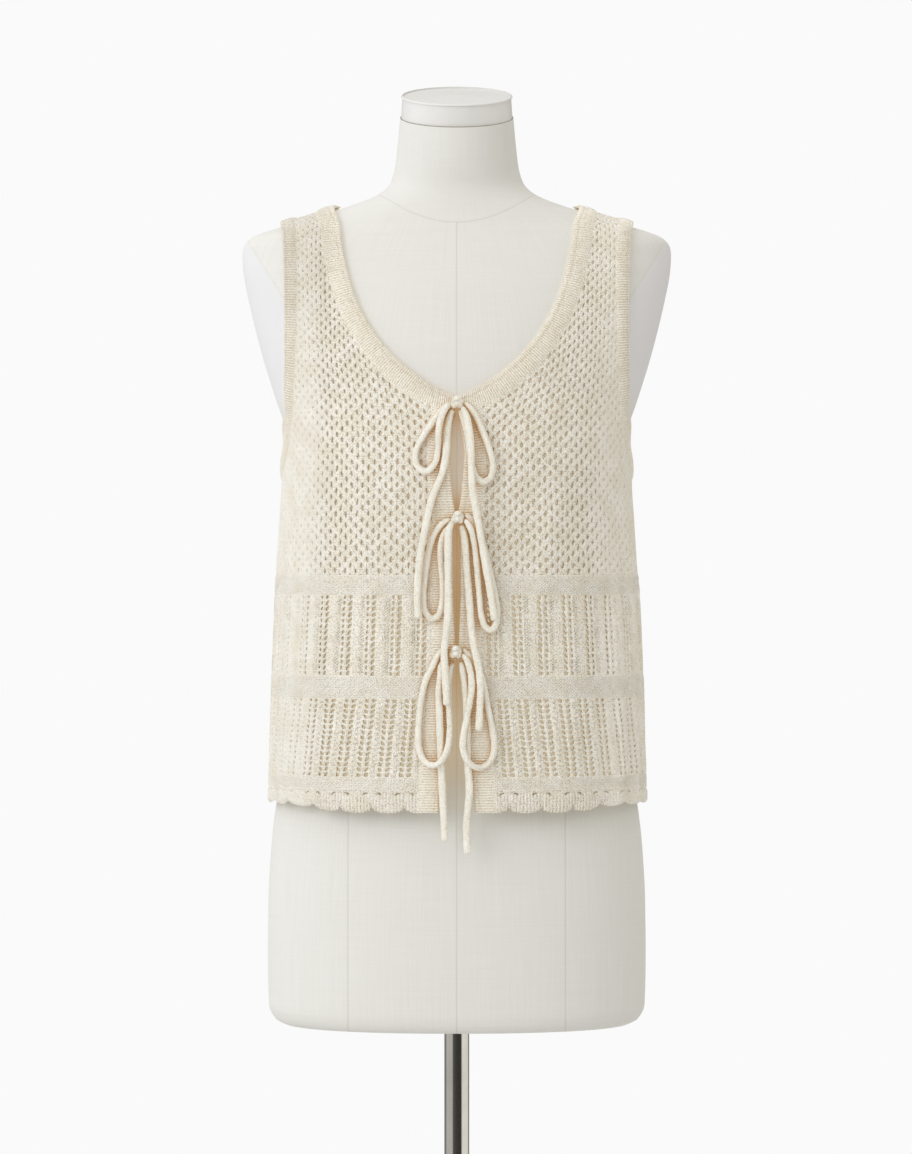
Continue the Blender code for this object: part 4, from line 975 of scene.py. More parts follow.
def scallop_rows(panel, notch):
    """The hem's scallops: fans of ribs that bulge between their notches, with slits above them."""
    count = round((SCALLOP_TOP + SCALLOP_HANG) / (panel.grid_step * SCALLOP_FINENESS))
    share = np.linspace(0, 1, count + 1)[:, None]
    across, _ = panel.rows_between(np.linspace(0, SCALLOP_TOP, count + 1))
    part = (across - notch) / SCALLOP_WIDTH
    part = part - np.floor(part)
    arch = np.sin(np.pi * part)
    edge = SCALLOP_DEPTH * (1 - arch**SCALLOP_ROUNDNESS) - SCALLOP_HANG
    edge += HEM_LIFT * ease_in(np.abs(across), *HEM_LIFTED)
    along = edge + (SCALLOP_TOP - edge) * share
    low = 1 - share
    spread = across + FAN_SPREAD * np.sin(2 * np.pi * part) * low
    spread += FAN_UNEVEN * wander(across, along, panel.seed)
    ribs = np.cos(2 * np.pi * (spread - notch) / FAN_RIB)
    swell = ease_in(share, 0.0, 0.25) * (1 - ease_in(share, 0.72, 1.0))
    courses = 0.5 - 0.5 * np.cos(2 * np.pi * along / FAN_COURSE + 2.5 * ribs)
    from_notch = np.minimum(part, 1 - part) * SCALLOP_WIDTH
    notched = bell(from_notch / NOTCH_WIDTH) * ease_in(low, 0.55, 0.9)
    slits = hem_slits(part, along)
    out = FAN_OUT + arch**0.5 * swell + FAN_RIB_RISE * ribs * at_least(0.45, swell)
    out -= HEM_TURN_DEPTH * (1 - ease_in(share, 0.0, 0.09))
    out -= NOTCH_DEPTH * notched
    out += FAN_COURSE_RISE * courses * swell
    out -= SLIT_DEPTH * slits
    # Painted shade between ribs and courses, in the notches, at the turned hem and in the slits;
    # the fans painted lighter
    recess_shade = FAN_SHADE * (1 - ribs) - FAN_LIGHT + NOTCH_SHADE * notched
    recess_shade += HEM_TURN_SHADE * (1 - ease_in(share, 0, 0.07))
    recess_shade += FAN_COURSE_SHADE * (1 - courses)
    recess_shade += SLIT_SHADE * slits
    return Knitting().add_grid(layered(across, along, out, np.minimum(recess_shade, 1)))


def arch_ridge(panel, notch):
    """The cord of stitches that waves over the fans, just below the moss stitch."""
    steps = np.linspace(-1.0, 1.0, ARCH_ROWS)
    across, _ = panel.rows_between(np.full(ARCH_ROWS, SCALLOP_TOP))
    arch = np.abs(np.sin(np.pi * ((across - notch) / SCALLOP_WIDTH)))
    along = ARCH_ALONG + ARCH_WAVE * arch**0.8 + ARCH_HALF_WIDTH * steps[:, None]
    beat = np.cos(2 * np.pi * across / FAN_RIB)
    out = ARCH_OUT + ARCH_ROUND * np.cos(steps[:, None] * math.pi / 2.3) + ARCH_BEAT * beat
    # Painted shade between the cord's beats
    return Knitting().add_grid(layered(across, along, out, ARCH_SHADE * (1 - beat)))


def drawn_eyelets(centres, turn, half_size, lean, spread, uneven, calm, drawn=1.0, tear=1.0):
    """Outlines of eyelets, no two quite alike; where the knitting is calm they stand less open."""
    by_width, by_height, by_lean, by_place, least = uneven
    wide = half_size[0] * (1 + by_width * spread[:, :1]) * calm * drawn
    tall = half_size[1] * (1 + by_height * spread[:, 1:2]) * at_least(least, calm)
    hole = np.stack([np.cos(turn) * tear * wide, np.sin(turn) * tall], axis=-1)
    hole[..., 0] += (lean + by_lean * spread[:, 2:3]) * hole[..., 1]
    return hole + (centres[:, None] + by_place * spread[:, None, 3:5])


def sheared(panel, lace, flat, along):
    """Chart place of a lace column: it leans outward going down, and wavers a little."""
    middle = (lace["bottom"] + lace["top"]) / 2
    lean = lace["slant"] * np.clip(flat / LACE_LEANS_TO, -1, 1)
    return flat + lean * (middle - along) + LACE_UNEVEN * wander(flat, along, panel.seed)


def lace_out(lace, centre, pitch, places):
    """How far out the lace lies round one pair: bars beside the eyelets, a spine between them."""
    across = places[..., 0] - centre
    off = np.abs(across)
    climb = places[..., 1] - lace["bottom"] + SPINE_SLOPE * across
    beat = np.cos(2 * np.pi * climb / pitch)
    bars = np.clip(np.abs(off / lace["cell"] - 0.5) * 2, 0, 1) ** BAR_SHARPNESS
    spine = lace["spine_rise"] * bell(off / lace["spine_width"]) * (1 + SPINE_BEAT * beat)
    return BAR_OUT + (STRAND_OUT - BAR_OUT) * bars + spine


def lace_pairs(panel, lace):
    """Where the pairs of eyelet columns are centred, from side to side of the panel."""
    pair = lace["pair"]
    reach = panel.face.half_girth + pair
    if panel.both_sides:
        count = math.floor(reach / pair)
        return np.arange(-count, count + 1) * pair
    first = lace["first_pair"] - math.ceil((lace["first_pair"] + pair) / pair) * pair
    return np.arange(first, reach, pair)


def add_eyelet_column(knitting, panel, lace, low_edge, centre, side, spread):
    """One column of a pair: rings from the edge of each rectangular cell to its eyelet's lip."""
    seam, cell, rows = panel.face.half_girth, lace["cell"], lace["rows"]
    pitch = (lace["top"] - lace["bottom"]) / rows
    farther = 0 if side * centre < 0 or (centre == 0 and side < 0) else 1
    mirror = 1 if centre >= 0 else -1
    width, height, lean = lace["eyelets"][farther]
    column = centre + side * cell / 2
    middles = lace["bottom"] + (np.arange(rows) + 0.5) * pitch
    centres = np.stack([np.full(rows, column), middles], axis=1)
    square = run_round(((-0.5, -0.5), (0.5, -0.5), (0.5, 0.5), (-0.5, 0.5)), panel.cell_steps)
    turn = np.arctan2(square[:, 1], square[:, 0])
    edge = centres[:, None] + square * np.array([cell, pitch])
    half_size, calm = (width / 2, height / 2), panel.calm_at(centres[:, :1])
    hole = drawn_eyelets(centres, turn, half_size, lean * mirror, spread, LACE_EYELETS, calm)
    middle = edge * LACE_MIDDLE[0] + hole * LACE_MIDDLE[1]
    lip = centres[:, None] + (hole - centres[:, None]) * LACE_LIP
    middle_out = lace_out(lace, centre, pitch, middle) * 0.5 + 0.5 * STRAND_OUT
    # Painted shade on each eyelet's inner ring, darkest on its lip
    layers = (
        (edge, lace_out(lace, centre, pitch, edge), 0.0),
        (middle, middle_out, 0.0),
        (hole, EYELET_OUT, 0.45),
        (lip, LIP_OUT, 1.0),
    )
    rings = np.stack([
        layered(ring[..., 0], ring[..., 1], out, recess_shade) for ring, out, recess_shade in layers
    ], axis=1)
    inset = np.minimum(rings[..., 1] - lace["bottom"], lace["top"] - rings[..., 1])
    tilt = lace["tilts"][farther] * mirror * ease_in(inset, 0, pitch)
    rings[..., 1] += tilt * (rings[..., 0] - column)
    rings[..., 0] = sheared(panel, lace, rings[..., 0], rings[..., 1])
    at = rings[:, 0, :, 0].mean(axis=1)
    kept = (at > low_edge(middles)) & (at < panel.far_edge + PANEL_MARGIN)
    kept &= at > -seam - PANEL_MARGIN
    filled = np.abs(at) > seam - cell * LACE_FILLED
    if kept.any():
        knitting.add_rings(panel.hold(rings[kept]), filled[kept])


def add_cable(knitting, panel, lace, low_edge, centre):
    """The twisted cable between one pair of eyelet columns and the next, purled at its far side."""
    pitch = (lace["top"] - lace["bottom"]) / lace["rows"]
    start, end = centre + lace["cell"], centre + lace["pair"] - lace["cell"]
    count = max(2, round((end - start) / (panel.grid_step * CABLE_FINENESS)))
    courses = np.arange(lace["rows"] * panel.cell_steps + 1)
    along = lace["bottom"] + courses * pitch / panel.cell_steps
    share, along = np.meshgrid(np.linspace(0, 1, count + 1), along)
    flat = start + (end - start) * share
    dome = np.sin(np.pi * share)
    twist = np.cos(2 * np.pi * (along / pitch - CABLE_TWIST * np.abs(share - 0.5)))
    ended = ease_in(np.minimum(along - lace["bottom"], lace["top"] - along), 0, CABLE_END)
    seeds = moss_seeds(flat, along)
    purls = lace["purls"] * ease_in(1 - share if centre >= 0 else share, *PURL_START) * ended
    out = STRAND_OUT + (lace["cable_rise"] * dome + lace["chevrons"] * twist * dome) * ended
    out += purls * PURL_RISE * seeds
    # Painted shade beside the cable's dome and between its twists; the purls painted dark between
    # their seeds and lighter on them
    recess_shade = 0.05 * (1 - dome) + 0.35 * lace["chevrons"] * (1 - twist) * dome
    recess_shade += purls * (0.5 - 1.8 * seeds)
    places = layered(sheared(panel, lace, flat, along), along, out, recess_shade)
    shown = (places[..., 0].mean(axis=1) > low_edge(along[:, 0]) - CABLE_MARGIN).any()
    if shown and start < panel.face.half_girth + lace["pair"] / 2:
        knitting.add_grid(panel.hold(places))


def lace_rows(panel, lace, low_edge):
    """Lace: pairs of eyelet columns with a spine between them, and a cable between the pairs."""
    chance = np.random.default_rng(100 + panel.seed)
    knitting = Knitting()
    for centre in lace_pairs(panel, lace):
        for side in (-1, 1):
            spread = chance.uniform(-1, 1, (lace["rows"], 5))
            add_eyelet_column(knitting, panel, lace, low_edge, centre, side, spread)
        add_cable(knitting, panel, lace, low_edge, centre)
    return knitting


def tightened(panel, flat, along):
    """Chart places of the diamond mesh, which is tighter on the straps."""
    fine = np.arange(0.0, CHART_TOP, GRID_STEP)
    scale = 1 - STRAP_TIGHTNESS * ease_in(fine, *TIGHTENING)
    climbed = np.concatenate([[0.0], np.cumsum(scale[:-1] * GRID_STEP)])
    here = np.interp(along, fine, scale)
    centre = flat if panel.both_sides else STRAP_CENTRE
    across = centre + (flat - centre) * here
    rise = np.interp(along, fine, climbed)
    across += MESH_UNEVEN[0] * wander(flat, along, panel.seed + 5)
    return across, rise + MESH_UNEVEN[1] * wander(along, flat, panel.seed + 9)


def mesh_centres(panel):
    """Centres of the mesh's cells before it is tightened; every second row is half a cell aside."""
    reach = panel.face.half_girth + MESH_REACH
    first = -math.ceil(reach / MESH_ACROSS) * MESH_ACROSS
    rows = int((panel.face.ridge.max() - MESH_BOTTOM) / MESH_ROW / (1 - STRAP_TIGHTNESS)) + 2
    centres = np.array([
        (across, MESH_BOTTOM + row * MESH_ROW)
        for row in range(-1, rows)
        for across in np.arange(first + (MESH_ACROSS / 2 if row % 2 else 0), reach, MESH_ACROSS)
    ])
    return centres if panel.both_sides else centres[centres[:, 0] > -MESH_PAST_CENTRE]


def mesh_rings(panel, centres, chart, spread):
    """Rings round each of the mesh's eyelets, from its diamond cell in to the eyelet's lip."""
    finely = panel.cell_steps > 3
    diamond = run_round(((0, -1), (1, 0), (0, 1), (-1, 0)), 3 if finely else 2)
    edge = centres[:, None] + diamond * np.array([MESH_ACROSS / 2, MESH_ROW])
    turn = np.arctan2(diamond[:, 1], diamond[:, 0])
    calm = panel.calm_at(chart[:, :1])
    drawn = 1 - MESH_CLOSING * ease_in(chart[:, 1:2], *MESH_CLOSED_FROM)
    tear = 1 - MESH_TEAR * np.sin(turn)
    hole = drawn_eyelets(
        centres, turn, MESH_EYELET, panel.lean, spread, MESH_EYELETS, calm, drawn, tear
    )
    middle = edge * MESH_MIDDLE[0] + hole * MESH_MIDDLE[1]
    lip = centres[:, None] + (hole - centres[:, None]) * MESH_LIP
    # Painted shade on each eyelet's inner ring and lip, and a little on its cell's edge, less where
    # the knitting is calm
    layers = [
        (edge, STRAND_OUT - MESH_EDGE_DIP + MESH_KNOT * np.abs(diamond[:, 0]), 0.08),
        (middle, STRAND_OUT + MESH_MIDDLE_RISE, 0.0),
        (hole, EYELET_OUT, 0.5 if finely else 0.35),
        (lip, LIP_OUT, 0.9),
    ]
    if not finely:
        del layers[1]
    return np.stack([
        layered(*tightened(panel, ring[..., 0], ring[..., 1]), out, recess_shade * at_least(0.25, calm))
        for ring, out, recess_shade in layers
    ], axis=1)


def mesh_rows(panel, outline):
    """The diamond mesh, with an eyelet like a tear in each cell; cells at its seams are filled."""
    chance = np.random.default_rng(200 + panel.seed)
    seam = panel.face.half_girth
    centres = mesh_centres(panel)
    chart = np.stack(tightened(panel, *centres.T), axis=1)
    off = np.abs(chart[:, 0])
    top = panel.face.ridge_at(off)
    kept = (inside_by(chart, outline) > -HIDDEN_UNDER_BAND) & (off < seam + MESH_ACROSS * 0.3)
    kept &= chart[:, 1] < top + RIDGE_MARGIN
    filled = (off > seam - MESH_ACROSS * 0.35) | (chart[:, 1] > top - FILLED_BELOW_RIDGE)
    spread = chance.uniform(-1, 1, (int(kept.sum()), 5))
    rings = mesh_rings(panel, centres[kept], chart[kept], spread)
    knitting = Knitting()
    knitting.add_rings(panel.hold(rings), filled[kept])
    return knitting


def knitted_panel(name, panel, outline, low_edge, notch, sign, material):
    """One panel, made of its rows of different stitches, laid on the form."""
    whole = Knitting()
    for strip in (
        scallop_rows(panel, notch),
        arch_ridge(panel, notch),
        moss_rows(panel, *HEM_MOSS),
        lace_rows(panel, LOWER_LACE, low_edge),
        moss_rows(panel, *MIDDLE_MOSS),
        lace_rows(panel, MIDDLE_LACE, low_edge),
        moss_rows(panel, *UPPER_MOSS, crease=CREASE_ALONG),
        mesh_rows(panel, outline),
    ):
        whole.add(*strip.joined())
    places = np.concatenate(whole.places)
    faces = np.concatenate(whole.faces)
    covered = 1 - ease_in(places[:, 0] - low_edge(places[:, 1]) - HIDDEN_UNDER_BAND, -1.5, 1.0)
    calm = panel.calm_at(places[:, 0])
    # Painted light: where the knitting is calm near the side seams its painted shade fades and it
    # is painted lighter; all of it is painted a little lighter.
    places[:, 3] = places[:, 3] * at_least(0.3, calm) - CALM_LIGHT * (1 - calm) - 0.1
    places[:, 2] -= covered * np.maximum(places[:, 2] - UNDER_BAND_OUT, 0)
    points = cloth_points(panel.face, sign * places[:, 0], places[:, 1], places[:, 2])
    if panel.face.is_front == (sign < 0):
        faces = turned_faces(faces)
    return object_from(name, points, faces, material, places[:, 3], places[:, :2])


def make_fronts(cut, material):
    made = []
    for sign, side in ((-1, "left"), (1, "right")):
        panel = Panel(
            face=cut.front,
            near_edge=lambda along: cut.placket_seam(along) - UNDER_PLACKET,
            far_edge=cut.front.half_girth,
            both_sides=False,
            cell_steps=4,
            grid_step=0.95,
            seed=1 if sign > 0 else 2,
            calm=0.4 if sign > 0 else 0.7,
            lean=0.25 if sign > 0 else 0.06,
        )
        piece = knitted_panel(
            f"front_{side}_knit",
            panel,
            cut.front_outline(),
            lambda along: cut.placket_seam(along) - HIDDEN_UNDER_BAND,
            FRONT_NOTCH,
            sign,
            material,
        )
        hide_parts(f"front_{side}")
        made.append(piece)
    return made


def make_back(cut, material):
    """The back in one piece; its stitches are made more coarsely than the fronts'."""
    girth = cut.back.half_girth
    panel = Panel(
        face=cut.back,
        near_edge=lambda along: np.full(len(along), -girth),
        far_edge=girth,
        both_sides=True,
        cell_steps=2,
        grid_step=1.5,
        seed=3,
    )
    piece = knitted_panel(
        "back_knit",
        panel,
        cut.back_outline(),
        lambda along: np.full(len(along), -girth - 9.0),
        SCALLOP_WIDTH / 2,
        1,
        material,
    )
    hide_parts("back_panel")
    return piece


# ---------------------------------------------------------------- bands

# share of the way from the free edge to the seam, out, painted recess shade, how much the ribs show
BAND_PROFILE = (
    (0.12, 0.25, 0.35, 0.0),
    (0.03, 0.30, 0.30, 0.0),
    (-0.02, 0.95, 0.20, 0.3),
    (-0.04, 1.80, 0.10, 0.8),
    (-0.01, 2.55, 0.00, 1.0),
    (0.06, 2.95, 0.00, 1.0),
    (0.13, 3.00, 0.00, 1.0),
    (0.20, 2.80, 0.16, 0.9),
    (0.30, 2.85, 0.00, 1.0),
    (0.45, 3.00, 0.00, 1.0),
    (0.62, 3.00, 0.00, 1.0),
    (0.80, 2.80, 0.00, 1.0),
    (0.93, 2.50, 0.05, 0.8),
    (1.02, 2.05, 0.12, 0.5),
    (1.08, 1.50, 0.30, 0.0),
)
EDGE_COLUMN = 5
SEAM_COLUMN = -3

# Ribs across the bands, with painted shade in their valleys, and the beads they make along the free
# edge
RIB = 2.3
RIB_SAMPLES = 4
RIB_RISE = 0.55
RIB_VALLEY = 0.22
BAND_CROWN = 0.6
CROWN_LEAD_IN = (8.0, 30.0)
BEAD = 0.35
BEAD_COLUMNS = 7
BEAD_UNEVEN = 0.6

# Where the bands end: at the shoulder ridge, at the neckband's front ends, and under the neckband;
# a tucked end is painted in shade
RIDGE_ROWS = 28
RIDGE_SHARE = 0.65
RIDGE_DROP = 2.4
SHOULDER_HEIGHT = 690.0
TUCK_OUT = 0.4
TUCK_EDGE = 0.8
TUCK_SHADE = 0.8
PLACKET_TURN = 30.0
PLACKET_SLANT = 60.0
PLACKET_SINKS = 3.0
PLACKET_SUNK = 0.45


def ribbed(places, beat):
    """Adds ribs to rows of band places, whose last column says how much they show; their valleys
    are painted in shade.
    """
    wave = np.cos(2 * np.pi * beat)[:, None]
    shown = places[..., 4]
    made = places[..., :4].copy()
    made[..., 2] += RIB_RISE * wave * shown
    made[..., 3] = np.clip(made[..., 3] + RIB_VALLEY * (1 - wave) * shown, 0, 1)
    edge = places[:, EDGE_COLUMN, :2]
    inward = places[:, SEAM_COLUMN, :2] - edge
    inward /= np.linalg.norm(inward, axis=1, keepdims=True)
    uneven = BEAD_UNEVEN * wander(edge[:, 0] * 5, edge[:, 1] * 5, 4)[:, None]
    made[:, :BEAD_COLUMNS, :2] -= (inward * BEAD * (wave + uneven))[:, None]
    return made


def band_stretch(free, seam):
    """Rows of places across a band from one end to the other of a stretch on one chart."""
    lengths = line_lengths(seam)
    ribs = round(lengths[-1] / RIB)
    at = np.linspace(0, lengths[-1], ribs * RIB_SAMPLES + 1)
    free = line_at(lengths, free, at)
    seam = line_at(lengths, seam, at)
    profile = np.array(BAND_PROFILE)
    share = profile[None, :, :1]
    across = free[:, None] * (1 - share) + seam[:, None] * share
    rest = np.broadcast_to(profile[None, :, 1:], across.shape[:2] + (3,)).copy()
    crown = np.sin(math.pi * np.clip(profile[:, 0], 0, 1)) * profile[:, 3]
    rest[..., 0] += BAND_CROWN * crown * ease_in(at, *CROWN_LEAD_IN)[:, None]
    return ribbed(np.concatenate([across, rest], axis=-1), np.arange(len(at)) / RIB_SAMPLES)


def laid_rows(face, sign, rows):
    held = np.minimum(rows[..., 1], face.ridge_at(np.abs(rows[..., 0])))
    across = np.minimum(rows[..., 0], face.half_girth)
    return cloth_points(face, sign * across, held, rows[..., 2])


def band_piece(name, node, stretches, closed, material):
    """A band laid from its stretches; each is (face, sign, rows, reversed)."""
    points = []
    places = []
    for face, sign, rows, backward in stretches:
        laid = laid_rows(face, sign, rows)
        points.append((laid[::-1] if backward else laid)[:-1])
        places.append((rows[::-1] if backward else rows)[:-1])
    if not closed:
        face, sign, rows, backward = stretches[-1]
        last = 0 if backward else -1
        points.append(laid_rows(face, sign, rows)[last][None])
        places.append(rows[last][None])
    points = np.concatenate(points)
    places = np.concatenate(places)
    count, columns = points.shape[:2]
    faces = grid_faces(numbered(count, columns, closed))
    flat = points.reshape(-1, 3)
    if not faces_out(flat, faces):
        faces = turned_faces(faces)
    travel = np.arange(count)[:, None] * RIB / RIB_SAMPLES + np.zeros(columns)
    width = np.array(BAND_PROFILE)[:, 0] * NECKBAND_WIDTH + np.zeros((count, 1))
    place = np.stack([width.reshape(-1), travel.reshape(-1)], axis=1)
    recess_shade = places[..., 3].reshape(-1)
    made = object_from(name, flat, faces, material, recess_shade, place)
    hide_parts(node)
    return made


def faces_out(points, faces):
    """Whether most faces look away from the body's middle, or up on its shoulders."""
    a, b, c = (points[faces[:, number]] for number in range(3))
    normals = np.cross(b - a, c - a)
    on_shoulder = a[:, 2:] > FORM_BASE + SHOULDER_HEIGHT
    outward = a * np.array([1, 1, 0]) + np.array([0, 0, 0.5]) * on_shoulder
    return float((normals * outward).sum()) > 0


def eased_to_ridge(rows):
    """Lowers a band's free edge where its last rows come up to the shoulder ridge."""
    near = ease_in(np.arange(len(rows)), len(rows) - RIDGE_ROWS, len(rows) - 1)
    free = np.clip(1 - np.array(BAND_PROFILE)[:, 0] / RIDGE_SHARE, 0, 1) ** 2
    lowered = rows[..., 2] - RIDGE_DROP * near[:, None] * free
    rows[..., 2] = np.maximum(lowered, np.minimum(rows[..., 2], LIP_OUT))
    return rows


def make_neckband(cut, material):
    front = eased_to_ridge(band_stretch(*cut.neck_front))
    back = eased_to_ridge(band_stretch(*cut.neck_back))
    ended = tucked_start(front)
    stretches = (
        (cut.front, 1, ended, False),
        (cut.back, 1, back, True),
        (cut.back, -1, back, False),
        (cut.front, -1, ended, True),
    )
    return band_piece("neckband_rib", "neckband", stretches, False, material)


def tucked_start(rows):
    """Closes the first end of a stretch down to the cloth behind it, and paints that end in shade.
    """
    end = rows[:1].copy()
    end[..., 2] = np.minimum(end[..., 2], TUCK_OUT)
    end[..., 3] = TUCK_SHADE
    edge = rows[:1].copy()
    edge[..., 2] *= TUCK_EDGE
    return np.concatenate([end, edge, rows[1:]])


def make_armbands(cut, material):
    front = band_stretch(*cut.arm_front)
    back = band_stretch(*cut.arm_back)
    return [
        band_piece(
            f"armband_{side}_rib",
            f"armband_{side}",
            ((cut.front, sign, front, False), (cut.back, sign, back, True)),
            True,
            material,
        )
        for sign, side in ((-1, "left"), (1, "right"))
    ]


def make_placket(cut, sign, side, material):
    """A narrow upright band of ribs along one front edge, from the hem to the neckband."""
    neck = cut.neck_front[1]
    corner = cut.placket_top()
    ribs = round(corner / RIB)
    along = np.linspace(0, corner, ribs * RIB_SAMPLES + 1)
    profile = np.array(BAND_PROFILE)
    gap = cut.gap_edge(along)
    half_gap = gap + (neck[0, 0] - gap[-1]) * ease_in(along, corner - PLACKET_TURN, corner)
    rows = np.zeros((len(along), len(profile), 5))
    rows[..., 0] = half_gap[:, None] + PLACKET_WIDTH * profile[None, :, 0]
    top = np.interp(rows[-1, :, 0], neck[:, 0], neck[:, 1]) - corner + PLACKET_SINKS
    slanted = ease_in(along, corner - PLACKET_SLANT, corner)[:, None]
    rows[..., 1] = along[:, None] + slanted * top
    rows[..., 2:] = profile[None, :, 1:]
    rows[..., 2] *= 1 - PLACKET_SUNK * ease_in(along, corner - PLACKET_SINKS, corner)[:, None]
    rows = tucked_start(ribbed(rows, np.arange(len(along)) / RIB_SAMPLES))
    return band_piece(
        f"placket_{side}_rib", f"placket_{side}", ((cut.front, sign, rows, False),), False, material
    )


# ---------------------------------------------------------------- ties

TIE_SIDES = 14
TIE_STEP = 1.1
KNOT_SIDES = 14
PINCH = 9.0
PINCHED = (0.7, 0.3)
SWELL = (0.05, 0.11)
RIPPLE = (0.03, 0.37)
END_ROUND = (2.4, 2.5)
WALE_RISE = 0.035
COURSE_RISE = 0.03
COURSE_LENGTH = 2.6
FUZZ = 0.05


def before_placket(face, across, height, lift):
    """A point so far in front of the placket's outer face, at a place near the centre line."""
    fore = cloth_points(face, across, face.along_at(abs(across), height), BAND_WALL)[1]
    return across, fore - lift, height + FORM_BASE


def tie_curve(face, route):
    """Close places along a smooth curve through a tie's route."""
    stops = np.array([
        before_placket(face, across, height, lift[0] if lift else TIE_LIFT)
        for across, height, *lift in route
    ])
    stops[:, 1] -= TIE_CLEARANCE
    legs = np.linalg.norm(np.diff(stops, axis=0), axis=1) ** 0.5
    knots = np.concatenate([[0.0], np.cumsum(legs)])
    slopes = np.gradient(stops, knots, axis=0)
    fine = np.linspace(0, knots[-1], TIE_SAMPLES)
    leg = np.clip(np.searchsorted(knots, fine, side="right") - 1, 0, len(legs) - 1)
    size = legs[leg][:, None]
    part = ((fine - knots[leg]) / legs[leg])[:, None]
    return (
        stops[leg] * (2 * part**3 - 3 * part**2 + 1)
        + stops[leg + 1] * (3 * part**2 - 2 * part**3)
        + slopes[leg] * (part**3 - 2 * part**2 + part) * size
        + slopes[leg + 1] * (part**3 - part**2) * size
    )


def make_tie(name, face, route, radius, is_loop, seed, material):
    """A soft knitted cord of gentle ribs, uneven in width, with rounded ends."""
    curve = tie_curve(face, route)
    lengths = line_lengths(curve)
    count = round(lengths[-1] / TIE_STEP) + 1
    travel = np.linspace(0, lengths[-1], count)
    line = line_at(lengths, curve, travel)
    swell = SWELL[0] * np.sin(travel * SWELL[1] + seed)
    radii = radius * (1 + swell + RIPPLE[0] * np.sin(travel * RIPPLE[1] + 2 * seed))
    left = travel[-1] - travel
    drawn_in = ease_in(np.minimum(travel, left) if is_loop else travel, 0, PINCH)
    radii *= PINCHED[0] + PINCHED[1] * drawn_in
    for ended in (travel, left):
        past = ((END_ROUND[0] - ended) / END_ROUND[1]).clip(0, 1)
        radii *= np.sqrt(np.clip(1 - past**2, 0.02, 1))
    rings = tube_rings(line, radii, TIE_SIDES)
    turn = angles_round(TIE_SIDES)
    courses = np.cos(2 * math.pi * travel[:, None] / COURSE_LENGTH + 3.0 * turn)
    stitches = WALE_RISE * np.cos(3 * turn) + COURSE_RISE * courses
    stitches += np.random.default_rng(seed).uniform(-FUZZ, FUZZ, (count, TIE_SIDES))
    rings = rings + (rings - line[:, None]) * stitches[..., None]
    lid = lid_faces(TIE_SIDES)
    ends = (turned_faces(lid), lid + (count - 1) * TIE_SIDES)
    faces = np.vstack([ring_faces(count, TIE_SIDES), *ends])
    place = layered(turn * radius, travel[:, None]).reshape(-1, 2)
    # Painted shade where the cord's stitches sink
    recess_shade = np.clip(-3 * stitches, 0, 0.15).reshape(-1)
    made = object_from(
        f"{name}_cord", rings.reshape(-1, 3), faces, material, recess_shade, place
    )
    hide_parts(name)
    2 * radius * METRE


# strands of a knot: half sizes across, fore and up, tilt, shift across, fore and up, thickness
KNOT_STRANDS = (
    (3.6, 2.0, 0.0, 0.40, -0.3, 1.2, -1.3, 2.6),
    (1.1, 2.4, 2.0, -0.55, -0.3, 0.0, 0.3, 3.2),
    (0.6, 2.0, 2.6, 0.30, 1.7, 0.7, -1.1, 2.3),
    (0.6, 2.0, 2.6, -0.45, -2.1, 0.7, -1.2, 2.3),
)
KNOT_STEPS = 28


def knot_strand(centre, wide, deep, tall, tilt, across, fore, up, thick):
    """Rings along one strand: a loop of cord or, where it is tall, an upright figure of eight."""
    turn = angles_round(KNOT_STEPS)
    ring = np.stack([
        wide * np.sin(2 * turn if tall else turn),
        -deep * np.cos(turn),
        tall * np.cos(turn + math.pi / 2 if tall else turn),
    ], axis=1)
    cosine, sine = math.cos(tilt), math.sin(tilt)
    line = np.stack([
        centre[0] + across + ring[:, 0] * cosine - ring[:, 2] * sine,
        centre[1] + fore + ring[:, 1],
        centre[2] + up + ring[:, 0] * sine + ring[:, 2] * cosine,
    ], axis=1)
    whole = np.vstack([line[-2:], line, line[:2]])
    place = layered(angles_round(KNOT_SIDES) * thick, turn[:, None] * thick)
    return tube_rings(whole, np.full(len(whole), thick), KNOT_SIDES)[2:-2], place


def make_knot(face, knot, material):
    """The bow's knot: cords wrapped over each other and pulled tight."""
    centre = before_placket(face, *KNOTS[knot], KNOT_LIFT)
    strands = [knot_strand(centre, *strand) for strand in KNOT_STRANDS]
    points = np.concatenate([rings for rings, _ in strands]).reshape(-1, 3)
    places = np.concatenate([place for _, place in strands]).reshape(-1, 2)
    size = KNOT_STEPS * KNOT_SIDES
    faces = ring_faces(KNOT_STEPS, KNOT_SIDES, closed=True)
    faces = np.concatenate([faces + number * size for number in range(len(strands))])
    made = object_from(
        f"knot_{knot}_wraps", points, faces, material, np.zeros(len(points)), places
    )
    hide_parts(f"knot_{knot}")


# ---------------------------------------------------------------- dress form and stand

FORM_SIDES = 168
CAP_SIDES = 96
POLE_SIDES = 96
BASE_SIDES = 160
CORNER_STEPS = 5
CREASE_ANGLE = math.radians(38)
FORM_STEP = 5.0
AXIS = 0.01


def turned_points(profile, sides):
    """Points of a turned profile of (radius, height) rows."""
    turn = angles_round(sides)
    return np.array([
        np.stack([radius * np.sin(turn), -radius * np.cos(turn), np.full(sides, height)], axis=1)
        for radius, height in profile
    ])


